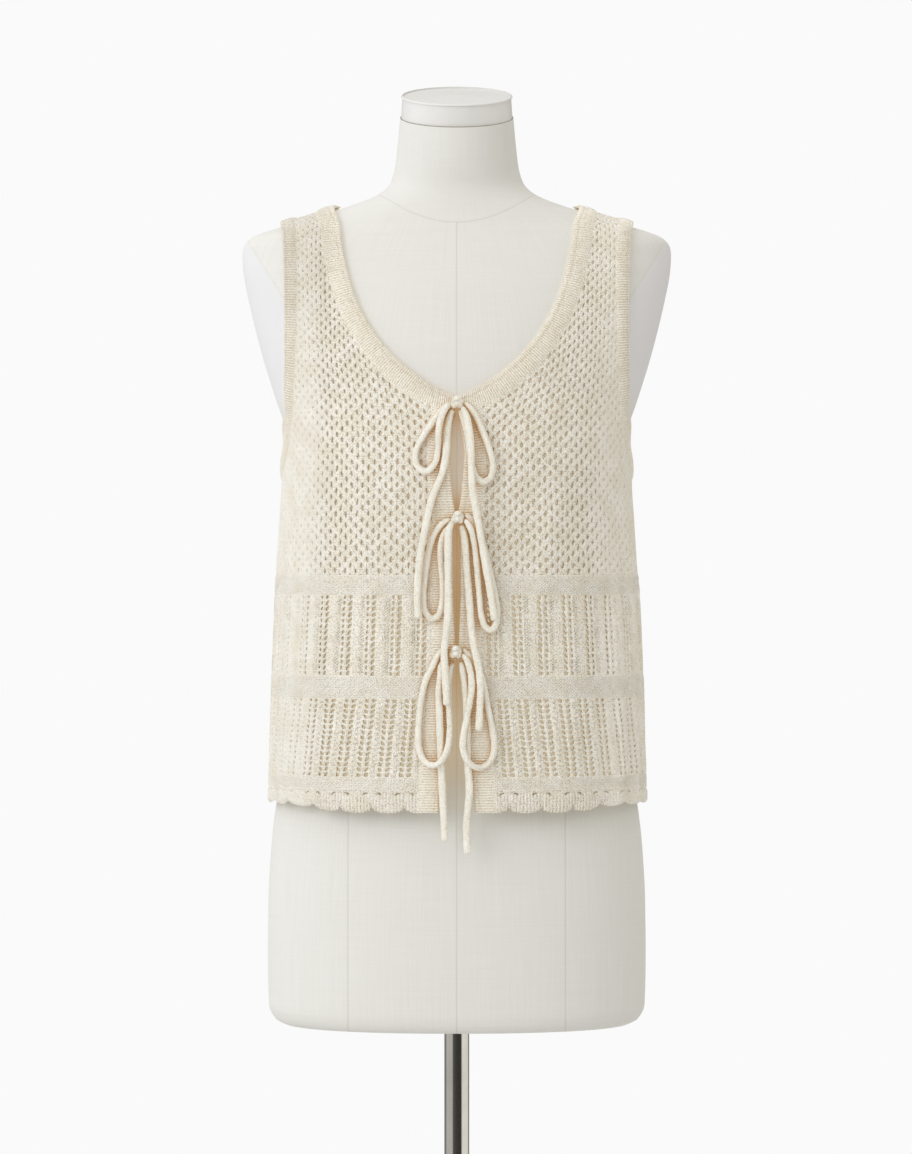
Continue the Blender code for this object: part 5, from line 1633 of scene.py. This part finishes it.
def turned_piece(name, node, profile, sides, material, place=None):
    """A round piece turned from its profile, whose first and last rows lie on its axis."""
    rings = turned_points(profile, sides)
    points = rings.reshape(-1, 3)
    if place is not None:
        points = place(points)
    made = object_from(name, points, ring_faces(len(profile), sides), material)
    made.data.set_sharp_from_angle(angle=CREASE_ANGLE)
    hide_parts(node)
    return made


def rounded_corner(radius, height, size):
    """Rows of a profile round its upper outer corner, from its top to its side."""
    turns = math.pi / 2 - np.linspace(0, math.pi / 2, CORNER_STEPS)
    radius, height = radius - size, height - size
    return [(radius + size * math.cos(turn), height + size * math.sin(turn)) for turn in turns]


def make_form(material):
    """The torso, its shoulder stubs and neck in one smooth skin, with a flat underside."""
    heights = [FORM_RINGS[0][0]]
    for row in FORM_RINGS[1:]:
        count = max(2, math.ceil((row[0] - heights[-1]) / FORM_STEP))
        heights.extend(np.linspace(heights[-1], row[0], count + 1)[1:])
    heights = np.array(heights)
    angles = angles_round(FORM_SIDES)
    sizes = table_at(FORM_RINGS, heights)
    rings = ring_points(sizes[:5], heights, angles)
    rings[..., 2] += sizes[5][:, None] * (rings[..., 1] - sizes[3][:, None])
    across = (np.abs(rings[..., 0]) - BUST_ACROSS) / BUST_HALF_WIDTH
    above = (rings[..., 2] - BUST_HEIGHT) / BUST_HALF_HEIGHT
    swell = BUST_RISE * np.exp(-across * across - above * above)
    rings[..., 1] -= np.where(np.cos(angles)[None, :] > 0, swell, 0)
    bore = POLE_RADIUS + FIT
    inner = turned_points([(bore, BORE_SHOWN), (bore, 0.0)], FORM_SIDES)
    rings = np.concatenate([inner, rings])
    rings[..., 2] += FORM_BASE
    faces = ring_faces(len(rings), FORM_SIDES)
    made = object_from("form_skin", rings.reshape(-1, 3), faces, material)
    made.data.set_sharp_from_angle(angle=CREASE_ANGLE)
    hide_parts("form_torso")
    return made


def make_neck_cap(material):
    """A painted disc with eased edges on the neck's tilted top."""
    top = FORM_RINGS[-1]
    fore = np.array([0.0, math.cos(NECK_TILT), math.sin(NECK_TILT)])
    axis = np.array([0.0, -math.sin(NECK_TILT), math.cos(NECK_TILT)])
    centre = np.array([0.0, (top[2] + top[3]) / 2, FORM_BASE + top[0]]) + axis * CAP_GAP
    lower = [(CAP_RADIUS - 0.2, 0.0), (CAP_RADIUS, 0.2)]
    upper = rounded_corner(CAP_RADIUS, CAP_THICKNESS, CAP_ROUND)
    profile = [(AXIS, 0.0)] + lower + upper + [(AXIS, CAP_THICKNESS)]

    def place(points):
        across, along, up = points[:, :1], points[:, 1:2], points[:, 2:]
        return centre + across * np.array([1.0, 0, 0]) + along * fore + up * axis

    return turned_piece(
        "neck_cap_disc", "neck_cap", profile, CAP_SIDES, material, place
    )


def make_pole(material):
    """The pole, from the hub's bore up into the torso's."""
    foot, top = HUB_FLOOR + FIT, FORM_BASE + BORE_DEPTH - FIT
    profile = [(AXIS, foot), (POLE_RADIUS, foot), (POLE_RADIUS, top), (AXIS, top)]
    return turned_piece("pole_tube", "stand_pole", profile, POLE_SIDES, material)


def make_base(material):
    """A heavy round plate with eased edges and a short hub."""
    bore = POLE_RADIUS + FIT
    profile = [(AXIS, 0.0), (BASE_RADIUS, 0.0)]
    profile += rounded_corner(BASE_RADIUS, BASE_THICKNESS, RIM_ROUND)[::-1]
    profile += [(HUB_RADIUS, BASE_THICKNESS)]
    profile += rounded_corner(HUB_RADIUS, HUB_HEIGHT, HUB_ROUND)[::-1]
    profile += [(bore, HUB_HEIGHT), (bore, HUB_FLOOR), (AXIS, HUB_FLOOR)]
    return turned_piece("base_plate", "stand_base", profile, BASE_SIDES, material)


# ---------------------------------------------------------------- finishes


class Signal:
    """A value in a shader tree; each sum or product of signals adds the node that works it out."""

    def __init__(self, wiring, socket):
        self.wiring = wiring
        self.socket = socket

    def __add__(self, other):
        return self.wiring.maths("ADD", self, other)

    def __sub__(self, other):
        return self.wiring.maths("SUBTRACT", self, other)

    def __rsub__(self, other):
        return self.wiring.maths("SUBTRACT", other, self)

    def __mul__(self, other):
        return self.wiring.maths("MULTIPLY", self, other)

    def __truediv__(self, other):
        return self.wiring.maths("DIVIDE", self, other)

    def __pow__(self, other):
        return self.wiring.maths("POWER", self, other)

    def __abs__(self):
        return self.wiring.maths("ABSOLUTE", self)


class Wiring:
    """Adds nodes to a shader tree and joins them up."""

    def __init__(self, tree):
        self.tree = tree

    def node(self, kind, values=(), **settings):
        made = self.tree.nodes.new(kind)
        for name, value in settings.items():
            setattr(made, name, value)
        for place, value in dict(values).items():
            self.feed(made.inputs[place], value)
        return made

    def feed(self, socket, value):
        if isinstance(value, Signal):
            self.tree.links.new(value.socket, socket)
        else:
            socket.default_value = value

    def signal(self, kind, values=(), output=0, **settings):
        """One output of a new node."""
        return Signal(self, self.node(kind, values, **settings).outputs[output])

    def signals(self, sockets):
        return {socket.name: Signal(self, socket) for socket in sockets}

    def maths(self, operation, *values, clamp=False):
        values = dict(enumerate(values))
        return self.signal("ShaderNodeMath", values, operation=operation, use_clamp=clamp)

    def split(self, vector):
        made = self.node("ShaderNodeSeparateXYZ", {0: vector})
        return [Signal(self, socket) for socket in made.outputs]

    def mixed(self, share, low, high, blend="MIX"):
        values = {0: share, 6: low, 7: high}
        return self.signal("ShaderNodeMix", values, 2, data_type="RGBA", blend_type=blend)

    def between(self, value, low, high, start=0.0, end=1.0, step="SMOOTHSTEP"):
        values = {0: value, 1: low, 2: high, 3: start, 4: end}
        return self.signal("ShaderNodeMapRange", values, interpolation_type=step)

    def noise(self, vector, scale, detail=2.0, roughness=0.5):
        values = {"Vector": vector, "Scale": scale, "Detail": detail, "Roughness": roughness}
        return self.signal("ShaderNodeTexNoise", values, "Fac")

    def stretched(self, vector, scale):
        return self.signal("ShaderNodeVectorMath", {0: vector, 1: scale}, operation="MULTIPLY")


def tint(code):
    """A finish colour from its hex code, as Blender wants it."""
    parts = [int(code[at : at + 2], 16) / 255 for at in (0, 2, 4)]
    light = [part / 12.92 if part <= 0.04045 else ((part + 0.055) / 1.055) ** 2.4 for part in parts]
    return (*light, 1.0)


FLOAT = "NodeSocketFloat"
VECTOR = "NodeSocketVector"
COLOUR = "NodeSocketColor"


def new_group(name, inputs, outputs):
    """A node group with its sockets, the wiring to fill it, and what gives its results.

    An input is named with its kind or, if it is a number, with its usual value.
    """
    tree = bpy.data.node_groups.new(name, "ShaderNodeTree")
    for label, value in inputs.items():
        kind = value if isinstance(value, str) else FLOAT
        socket = tree.interface.new_socket(label, in_out="INPUT", socket_type=kind)
        if kind == FLOAT:
            socket.default_value = value
    for label in outputs:
        kind = COLOUR if label == "Colour" else FLOAT
        tree.interface.new_socket(label, in_out="OUTPUT", socket_type=kind)
    wiring = Wiring(tree)
    given = wiring.signals(wiring.node("NodeGroupInput").outputs)
    result = wiring.node("NodeGroupOutput").inputs

    def give(**values):
        for label, value in values.items():
            wiring.feed(result[label], value)
        return tree

    return wiring, given, give


def stitch_group():
    """Knit stitches: each wale is two legs that lean together into a V, course over course."""
    wiring, given, give = new_group(
        "Knit stitches",
        {"Place": VECTOR, "Wale": 2.1, "Course": 1.6, "Lean": 1.1},
        ("Height", "Gap"),
    )
    maths = wiring.maths
    across, along, _ = wiring.split(given["Place"])
    drift = wiring.noise(given["Place"], 0.35, 1.0)
    across = across / given["Wale"] + drift * 0.5
    along = along / given["Course"] + drift * 0.7
    along = along + abs(maths("FRACT", across) - 0.5) * given["Lean"]
    leg = maths("SINE", maths("FRACT", across * 2.0) * math.pi)
    course = maths("SINE", maths("FRACT", along) * math.pi)
    height = (leg * course) ** 0.6
    return give(Height=height, Gap=maths("SUBTRACT", 1.0, height, clamp=True))


def fibre_group():
    """Loose cotton fibres: a fine fuzz, and slow patches where the yarn is fuller or thinner."""
    wiring, given, give = new_group(
        "Cotton fibres", {"Place": VECTOR, "Fineness": 1.6}, ("Height", "Patches", "Speckle")
    )
    place, fineness = given["Place"], given["Fineness"]
    coarse = wiring.noise(place, fineness * 0.42, 1.0, 0.6)
    broad = wiring.noise(place, fineness * 0.03, 3.0, 0.55)
    return give(
        Height=wiring.noise(place, fineness, 4.0, 0.65),
        Patches=wiring.between(broad, 0.35, 0.65),
        Speckle=wiring.between(coarse, 0.42, 0.66),
    )


def yarn_colour_and_shade_group():
    """Undyed yarn's colour with painted shade: lighter where it stands up, painted warmer and
    darker the deeper it lies.
    """
    colours = {"Light": COLOUR, "Base": COLOUR, "Deep shade": COLOUR}
    shares = {"Recess shade": 0.0, "Gap": 0.0, "Gap depth": 0.3, "Patches": 0.5, "Speckle": 0.5}
    wiring, given, give = new_group("Yarn colour and painted shade", {**colours, **shares}, ("Colour",))
    face = wiring.mixed(given["Patches"], given["Base"], given["Light"])
    gap = wiring.between(given["Gap"], 0.0, 1.0, 0.35, 1.0)
    gaps = gap * given["Speckle"] * given["Gap depth"]
    depth = wiring.maths("ADD", gaps, given["Recess shade"], clamp=True)
    return give(Colour=wiring.mixed(depth, face, given["Deep shade"]))


def warm_shade_group():
    """Painted shade, warm as between cream yarns: where it is closed in, a colour takes on a tone.
    """
    wiring, given, give = new_group(
        "Warm shade", {"Colour": COLOUR, "Closed": 0.0, "Tone": COLOUR}, ("Colour",)
    )
    toned = wiring.mixed(1.0, given["Colour"], given["Tone"], "MULTIPLY")
    return give(Colour=wiring.mixed(given["Closed"], given["Colour"], toned))


def linen_group():
    """A tight plain weave, whose slubs show as faint upright and level streaks."""
    wiring, given, give = new_group(
        "Linen weave", {"Place": VECTOR, "Thread": 1.0}, ("Height", "Streaks")
    )
    maths = wiring.maths
    x, y, z = wiring.split(given["Place"])
    turn = maths("ARCTAN2", x, y * -1.0) * 150.0
    warp, weft = (maths("SINE", way * (2 * math.pi) / given["Thread"]) for way in (turn, z))
    laid = wiring.signal("ShaderNodeCombineXYZ", {0: turn, 1: 0.0, 2: z})
    upright, level = (
        wiring.noise(wiring.stretched(laid, scale), 1.0, 3.0, 0.6)
        for scale in ((0.55, 1.0, 0.012), (0.012, 1.0, 0.5))
    )
    streaks = upright * 0.65 + level * 0.35
    return give(Height=warp * weft + upright, Streaks=wiring.between(streaks, 0.36, 0.64))


def seam_group():
    """A stitched seam: a groove, and a narrow pressed ridge beside it."""
    wiring, given, give = new_group(
        "Seam line", {"Distance": 0.0, "Where": 1.0}, ("Height", "Line")
    )
    distance, where = given["Distance"], given["Where"]
    groove = wiring.maths("EXPONENT", distance**2.0 * -2.6)
    ridge = wiring.maths("EXPONENT", (distance - 2.6) ** 2.0 * -0.7)
    return give(Height=(ridge * 0.35 - groove) * where, Line=groove * where)


def handling_group():
    """Light wear on hard parts: hairline scratches and faint cloudy marks from hands and dust."""
    wiring, given, give = new_group(
        "Handling marks", {"Place": VECTOR, "Long way": VECTOR}, ("Clouds", "Hairlines")
    )
    clouds = wiring.noise(given["Place"], 0.035, 4.0, 0.6)
    lines = wiring.noise(wiring.stretched(given["Place"], given["Long way"]), 1.4, 3.0, 0.7)
    return give(
        Clouds=wiring.between(clouds, 0.35, 0.7), Hairlines=wiring.between(lines, 0.45, 0.75)
    )


GROUPS = {}


def make_groups():
    GROUPS.update(
        stitches=stitch_group(),
        fibres=fibre_group(),
        yarn=yarn_colour_and_shade_group(),
        shade=warm_shade_group(),
        linen=linen_group(),
        seam=seam_group(),
        handling=handling_group(),
    )


class Finish(Wiring):
    """A material with its shader, and the places on the piece in millimetres."""

    def __init__(self, name, **plain):
        self.material = bpy.data.materials.new(name)
        self.material.use_nodes = True
        super().__init__(self.material.node_tree)
        self.tree.nodes.clear()
        self.shader = self.node("ShaderNodeBsdfPrincipled")
        output = self.node("ShaderNodeOutputMaterial")
        self.tree.links.new(self.shader.outputs[0], output.inputs[0])
        for socket, value in plain.items():
            self.shader.inputs[socket.replace("_", " ")].default_value = value

    def millimetres(self):
        place = self.signal("ShaderNodeTexCoord", output="Object")
        return self.stretched(place, (1000.0, 1000.0, 1000.0))

    def attribute(self, name, output):
        return self.signal("ShaderNodeAttribute", output=output, attribute_name=name)

    def group(self, name, values):
        made = self.node("ShaderNodeGroup", values, node_tree=GROUPS[name])
        return self.signals(made.outputs)

    def bump(self, height, strength, depth):
        values = {"Strength": strength, "Distance": depth * METRE, "Height": height}
        return self.signal("ShaderNodeBump", values)

    def closed_in(self, reach, start, end):
        """How shut in a place is by what lies around it, from 0 in the open to 1 in a nook."""
        nook = self.signal("ShaderNodeAmbientOcclusion", {"Distance": reach}, "AO", samples=8)
        return self.between(1.0 - nook, start, end)

    def glowing(self, colour, strength):
        """A painted glow: the piece gives off light, standing in for light that loose cotton passes
        on from its other side, so that its shade stays soft.
        """
        self.feed(self.shader.inputs["Emission Color"], colour)
        self.shader.inputs["Emission Strength"].default_value = strength

    def shade(self, colour, roughness, normal=None):
        self.feed(self.shader.inputs["Base Color"], colour)
        self.feed(self.shader.inputs["Roughness"], roughness)
        if normal is not None:
            self.feed(self.shader.inputs["Normal"], normal)
        return self.material


# light and base colour, deep colour of the painted shade, wale, course, lean, gap depth of the
# painted shade, fineness, relief, painted glow for light passed on
YARNS = {
    "tie_cord": ("FAF7EE", "F5F1E5", "CDC2A4", 2.2, 2.2, 1.0, 0.5, 2.2, 0.7, 0.16),
    "knit_cotton": ("F9F5EB", "F3EDDF", "9C8660", 2.7, 2.2, 1.1, 0.65, 1.8, 0.65, 0.05),
    "rib_cotton": ("FBF8F0", "F7F2E7", "AE9A74", 2.3, 2.2, 0.9, 0.4, 1.8, 0.45, 0.14),
}
# Where the cotton's painted shade goes: nooks within NOOK_REACH, most near the ties, and down the
# -X side at these heights
NOOK_REACH = 0.014
TIES_REACH = (32.0, 80.0)
SIDE_REACH = (-120.0, -104.0)
SIDE_HEIGHTS = (FORM_BASE + 600.0, FORM_BASE + 670.0)


def cotton_shade(finish, colour):
    """Painted warm shade in the nooks, most of all near the ties, and a faint painted grey shade
    down the -X side, strongest high up.
    """
    across, _, up = finish.split(finish.millimetres())
    near_ties = finish.between(abs(across), *TIES_REACH, 1.0, 0.15)
    painted_side_shade = finish.between(across, *SIDE_REACH, 1.0, 0.0)
    higher = finish.between(up, *SIDE_HEIGHTS, 0.4, 1.0)
    for share, tone in (
        (finish.closed_in(NOOK_REACH, 0.36, 0.85) * near_ties, "E8C28A"),
        (painted_side_shade * higher, "EDECEA"),
    ):
        values = {"Colour": colour, "Closed": share, "Tone": tint(tone)}
        colour = finish.group("shade", values)["Colour"]
    return colour


def cotton_finish(name, light, base, deep, wale, course, lean, gap_depth, fineness, relief, painted_glow):
    """Soft matt cotton yarn, knitted, with painted shade and a painted glow; its stitches follow
    the chart of the piece.
    """
    finish = Finish(name, Sheen_Weight=0.25, Sheen_Roughness=0.45, Specular_IOR_Level=0.2)
    place = finish.attribute("stitch_place", "Vector")
    stitch_values = {"Place": place, "Wale": wale, "Course": course, "Lean": lean}
    stitches = finish.group("stitches", stitch_values)
    fibres = finish.group("fibres", {"Place": finish.millimetres(), "Fineness": fineness})
    yarn_values = {
        "Light": tint(light),
        "Base": tint(base),
        "Deep shade": tint(deep),
        "Recess shade": finish.attribute("recess_shade", "Fac"),
        "Gap": stitches["Gap"],
        "Gap depth": gap_depth,
        "Patches": fibres["Patches"],
        "Speckle": fibres["Speckle"],
    }
    colour = cotton_shade(finish, finish.group("yarn", yarn_values)["Colour"])
    finish.glowing(colour, painted_glow)
    height = stitches["Height"] + fibres["Height"] - fibres["Speckle"] * 0.5
    roughness = finish.between(fibres["Height"], 0.3, 0.7, 0.82, 0.95)
    return finish.shade(colour, roughness, finish.bump(height, 0.8, relief))


# The form's cover: its seams and arm plates, and where the open front gets its painted warm shade
# and glow
COVER_REACH = 0.09
NECK_SEAM_FRONT = 715.0
NECK_SEAM_BACK = 746.0
NECK_SEAM_RISE = 0.0058
PRINCESS_SEAM = 95.5
SIDE_SEAM = 5.0
PLATE_TOP = 701.0
PLATE_ACROSS = 187.0
PLATE_SLOPE = 0.63
PLATE_LOWEST = (555.0, 565.0)
OPENING_ACROSS = (9.0, 13.0)
OPENING_BOTTOM = (265.0, 340.0)
OPENING_TOP = (460.0, 490.0)


def form_finish():
    """Off-white linen stretched over the form, with its panel seams, and smooth arm plates; where
    the knit closes it in, it takes a painted warm shade and a painted glow.
    """
    finish = Finish("form_linen", Sheen_Weight=0.08, Sheen_Roughness=0.5, Specular_IOR_Level=0.25)
    place = finish.millimetres()
    x, y, z = finish.split(place)
    height, wide = z - FORM_BASE, abs(x)
    behind = finish.between(y, -8.0, 8.0)
    front_seam = x * x * NECK_SEAM_RISE + NECK_SEAM_FRONT
    rise = height - front_seam - (NECK_SEAM_BACK - front_seam) * behind
    plate = wide - PLATE_ACROSS + (PLATE_TOP - height) * PLATE_SLOPE
    high = finish.between(height, *PLATE_LOWEST)
    linen = finish.group("linen", {"Place": place, "Thread": 1.5})
    relief = linen["Height"] * 0.1
    line = 0.0
    for distance, where in (
        (rise * 0.9, 0.8),
        (x, finish.between(rise, -0.5, 0.5, 1.0, 0.0)),
        (wide - PRINCESS_SEAM, 1.0 - high),
        (y - SIDE_SEAM, 1.0 - high),
        (plate * 0.8, high * 0.4),
    ):
        seam = finish.group("seam", {"Distance": distance, "Where": where})
        relief = relief + seam["Height"]
        line = finish.maths("ADD", line, seam["Line"], clamp=True)
    cloth = finish.mixed(linen["Streaks"], tint("DAD9D4"), tint("DEDDD9"))
    cloth = finish.mixed(finish.between(plate, 0.0, 4.0) * high, cloth, tint("DDDCDE"))
    cloth = finish.mixed(line * 0.3, cloth, tint("A9A69D"))
    # Painted warm shade and glow where the knit closes the form in, warmest behind the open front
    opening = finish.between(wide, *OPENING_ACROSS, 1.0, 0.0) * (1.0 - behind)
    opening = opening * finish.between(height, *OPENING_BOTTOM, 0.3, 1.0)
    opening = opening * finish.between(height, *OPENING_TOP, 1.0, 0.7)
    closed = finish.closed_in(COVER_REACH, 0.58, 0.92)
    tone = finish.mixed(opening, tint("F3ECDC"), tint("E6C696"))
    colour = finish.group("shade", {"Colour": cloth, "Closed": closed, "Tone": tone})["Colour"]
    painted_glow = finish.mixed(opening, tint("AA9D84"), tint("7F5D33"))
    # A pale painted glow in half-closed places behind the open front and about the neckline
    partly = finish.closed_in(COVER_REACH, 0.2, 0.5) * finish.maths("MAXIMUM", opening, high)
    pale = finish.mixed(partly, tint("000000"), tint("6A675E"))
    finish.glowing(finish.mixed(closed, pale, painted_glow), 1.0)
    roughness = finish.between(linen["Streaks"], 0.0, 1.0, 0.74, 0.8)
    return finish.shade(colour, roughness, finish.bump(relief, 0.5, 0.3))


def cap_finish():
    """Satin white paint, slightly soft in its gloss."""
    finish = Finish("cap_satin_paint", Specular_IOR_Level=0.4, Coat_Weight=0.1, Coat_Roughness=0.35)
    marks = finish.group("handling", {"Place": finish.millimetres(), "Long way": (1.0, 1.0, 1.0)})
    colour = finish.mixed(marks["Clouds"], tint("E2E1DF"), tint("DEDDDA"))
    roughness = finish.between(marks["Clouds"], 0.0, 1.0, 0.4, 0.46)
    return finish.shade(colour, roughness, finish.bump(marks["Hairlines"], 0.08, 0.04))


def steel_finish(name, long_way):
    """Polished steel with hairlines along the way it was polished."""
    finish = Finish(name, Metallic=1.0)
    marks = finish.group("handling", {"Place": finish.millimetres(), "Long way": long_way})
    colour = finish.mixed(marks["Clouds"], tint("DAD7CF"), tint("D0CDC4"))
    polish = finish.between(marks["Clouds"], 0.0, 1.0, 0.07, 0.1)
    roughness = marks["Hairlines"] * 0.04 + polish
    return finish.shade(colour, roughness, finish.bump(marks["Hairlines"], 0.05, 0.02))


# ---------------------------------------------------------------- studio

FLOOR_RINGS = (0.01, 0.4, 1.2, 2.5)
FLOOR_HEIGHT = -0.0004
FLOOR_SIDES = 96
FLOOR_FADES = (0.7, 2.4)
CAMERA_PLACE = (-0.0007, -3.8, 0.9005)
CAMERA_LENS = 131.72
SENSOR = 36.0
WINDOW_PLACE = (-2.6, -2.6, 2.2)
WINDOW_AIM = (0, 0, 0.95)
WINDOW_SIZE = 2.4
WINDOW_POWER = 40.0

# the room's own light: from its left, from its right, overhead, and what is seen behind it all
ROOM_LEFT = (0.94, 0.945, 0.95, 1)
ROOM_RIGHT = (0.68, 0.66, 0.61, 1)
CEILING = (0.75, 0.75, 0.74, 1)
BACKDROP = (0.956, 0.956, 0.956, 1)

# azimuth as a share of a turn from straight behind, brightness seen in polished metal
ROOM_BRIGHTNESS = (
    (0.00, 0.25), (0.17, 0.25), (0.20, 0.60), (0.38, 0.55), (0.41, 0.10), (0.50, 0.05),
    (0.61, 0.04), (0.65, 0.95), (0.84, 0.90), (0.88, 0.22), (1.00, 0.25),
)


def make_camera():
    data = bpy.data.cameras.new("studio_camera")
    data.sensor_fit = "VERTICAL"
    data.sensor_height = SENSOR
    data.sensor_width = SENSOR
    data.lens = CAMERA_LENS
    data.clip_end = 60.0
    camera = linked("studio_camera", data)
    camera.location = CAMERA_PLACE
    camera.rotation_euler = (math.pi / 2, 0, 0)
    bpy.context.scene.camera = camera


def make_world():
    """An even pale room; polished metal sees its darker doorways and bright walls."""
    world = bpy.data.worlds.new("studio_room")
    bpy.context.scene.world = world
    world.use_nodes = True
    wiring = Wiring(world.node_tree)
    wiring.tree.nodes.clear()
    x, y, z = wiring.split(wiring.signal("ShaderNodeTexCoord", output="Generated"))
    turn = wiring.maths("ARCTAN2", x, y * -1.0)
    share = wiring.between(turn, -math.pi, math.pi, step="LINEAR")
    ramp = wiring.signal("ShaderNodeValToRGB", {0: share})
    stops = ramp.socket.node.color_ramp.elements
    for number, (at, value) in enumerate(ROOM_BRIGHTNESS):
        stop = stops[number] if number < 2 else stops.new(at)
        stop.position = at
        stop.color = (value, value, value * 0.97, 1)
    walls = wiring.mixed(wiring.between(abs(z), 0.35, 0.8), ramp, CEILING)
    soft = wiring.mixed(wiring.between(x, -0.9, 0.9), ROOM_LEFT, ROOM_RIGHT)
    soft = wiring.stretched(soft, wiring.between(z, 0.3, 1.0, 1.0, 1.5))
    paths = wiring.signals(wiring.node("ShaderNodeLightPath").outputs)
    lit = wiring.mixed(paths["Is Glossy Ray"], soft, walls)
    seen = wiring.mixed(paths["Is Camera Ray"], lit, BACKDROP)
    background = wiring.node("ShaderNodeBackground", {0: seen, 1: 1.0})
    output = wiring.node("ShaderNodeOutputWorld")
    wiring.tree.links.new(background.outputs[0], output.inputs[0])


def make_window_light():
    """The light of one large window, from in front, on the left and above."""
    data = bpy.data.lights.new("window_light", "AREA")
    data.shape = "RECTANGLE"
    data.size = data.size_y = WINDOW_SIZE
    data.energy = WINDOW_POWER
    light = linked("window_light", data)
    light.location = WINDOW_PLACE
    aim = Vector(WINDOW_AIM) - Vector(WINDOW_PLACE)
    light.rotation_euler = aim.to_track_quat("-Z", "Y").to_euler()
    light.visible_camera = False
    light.visible_glossy = False


def make_floor():
    """A pale round floor that fades into the room."""
    rings = turned_points([(radius, FLOOR_HEIGHT) for radius in FLOOR_RINGS], FLOOR_SIDES)
    faces = turned_faces(ring_faces(len(rings), FLOOR_SIDES))
    mesh = bpy.data.meshes.new("studio_floor")
    mesh.from_pydata(rings.reshape(-1, 3).tolist(), [], faces.tolist())
    finish = Finish("floor_matt_paint", Specular_IOR_Level=0.2)
    place = finish.signal("ShaderNodeTexCoord", output="Object")
    away = finish.signal("ShaderNodeVectorMath", {0: place}, "Value", operation="LENGTH")
    grain = finish.noise(place, 30.0, 3.0)
    colour = finish.mixed(grain, tint("DEDEDC"), tint("E2E2E0"))
    finish.feed(finish.shader.inputs["Alpha"], finish.between(away, *FLOOR_FADES, 1.0, 0.0))
    mesh.materials.append(finish.shade(colour, finish.between(grain, 0, 1, 0.85, 0.95)))
    linked("studio_floor", mesh)


def make_studio():
    bpy.context.scene.view_settings.view_transform = "Standard"
    make_world()
    make_window_light()
    make_floor()


# ---------------------------------------------------------------- the whole top


def declare_panel(piece, outline):
    """Works out a panel's outline as it is cut: its outline above the lace, drawn on down to the
    hem; nothing is done with it.
    """
    hemmed = outline.copy()
    hemmed[:, 1] = np.where(hemmed[:, 1] <= OUTLINE_BOTTOM + 1, 0.0, hemmed[:, 1])


def make_ties(front, material):
    """All the ties, each loop and tail uneven in its own way, and their knots."""
    ties = ((LOOP_ROUTES, LOOP_RADIUS, True), (TAIL_ROUTES, TAIL_RADIUS, False))
    for routes, radius, is_loop in ties:
        for number, (name, route) in enumerate(routes.items()):
            seed = number if is_loop else 10 + number
            make_tie(name, front, route, radius, is_loop, seed, material)
    for knot in KNOTS:
        make_knot(front, knot, material)


def make_top():
    """The panels, bands and ties."""
    front = ClothFace(True)
    cut = Cut(front, ClothFace(False))
    ties, panels, ribs = (cotton_finish(name, *values) for name, values in YARNS.items())
    make_ties(front, ties)
    for piece in make_fronts(cut, panels):
        declare_panel(piece, cut.front_outline())
    declare_panel(make_back(cut, panels), cut.back_outline())
    lengths = {
        name: float(line_lengths(edge[1])[-1] + line_lengths(edge[0])[-1]) / 2
        for name, edge in vars(cut).items()
        if isinstance(edge, tuple)
    }
    make_neckband(cut, ribs)
    for piece in make_armbands(cut, ribs):
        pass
    for sign, side in ((-1, "left"), (1, "right")):
        piece = make_placket(cut, sign, side, ribs)


def main():
    make_camera()
    make_groups()
    body = make_form(form_finish())
    make_neck_cap(cap_finish())
    make_pole(steel_finish("polished_steel", (1.0, 1.0, 0.02)))
    make_base(steel_finish("turned_steel", (0.6, 0.6, 1.0)))
    make_top()
    make_studio()


main()
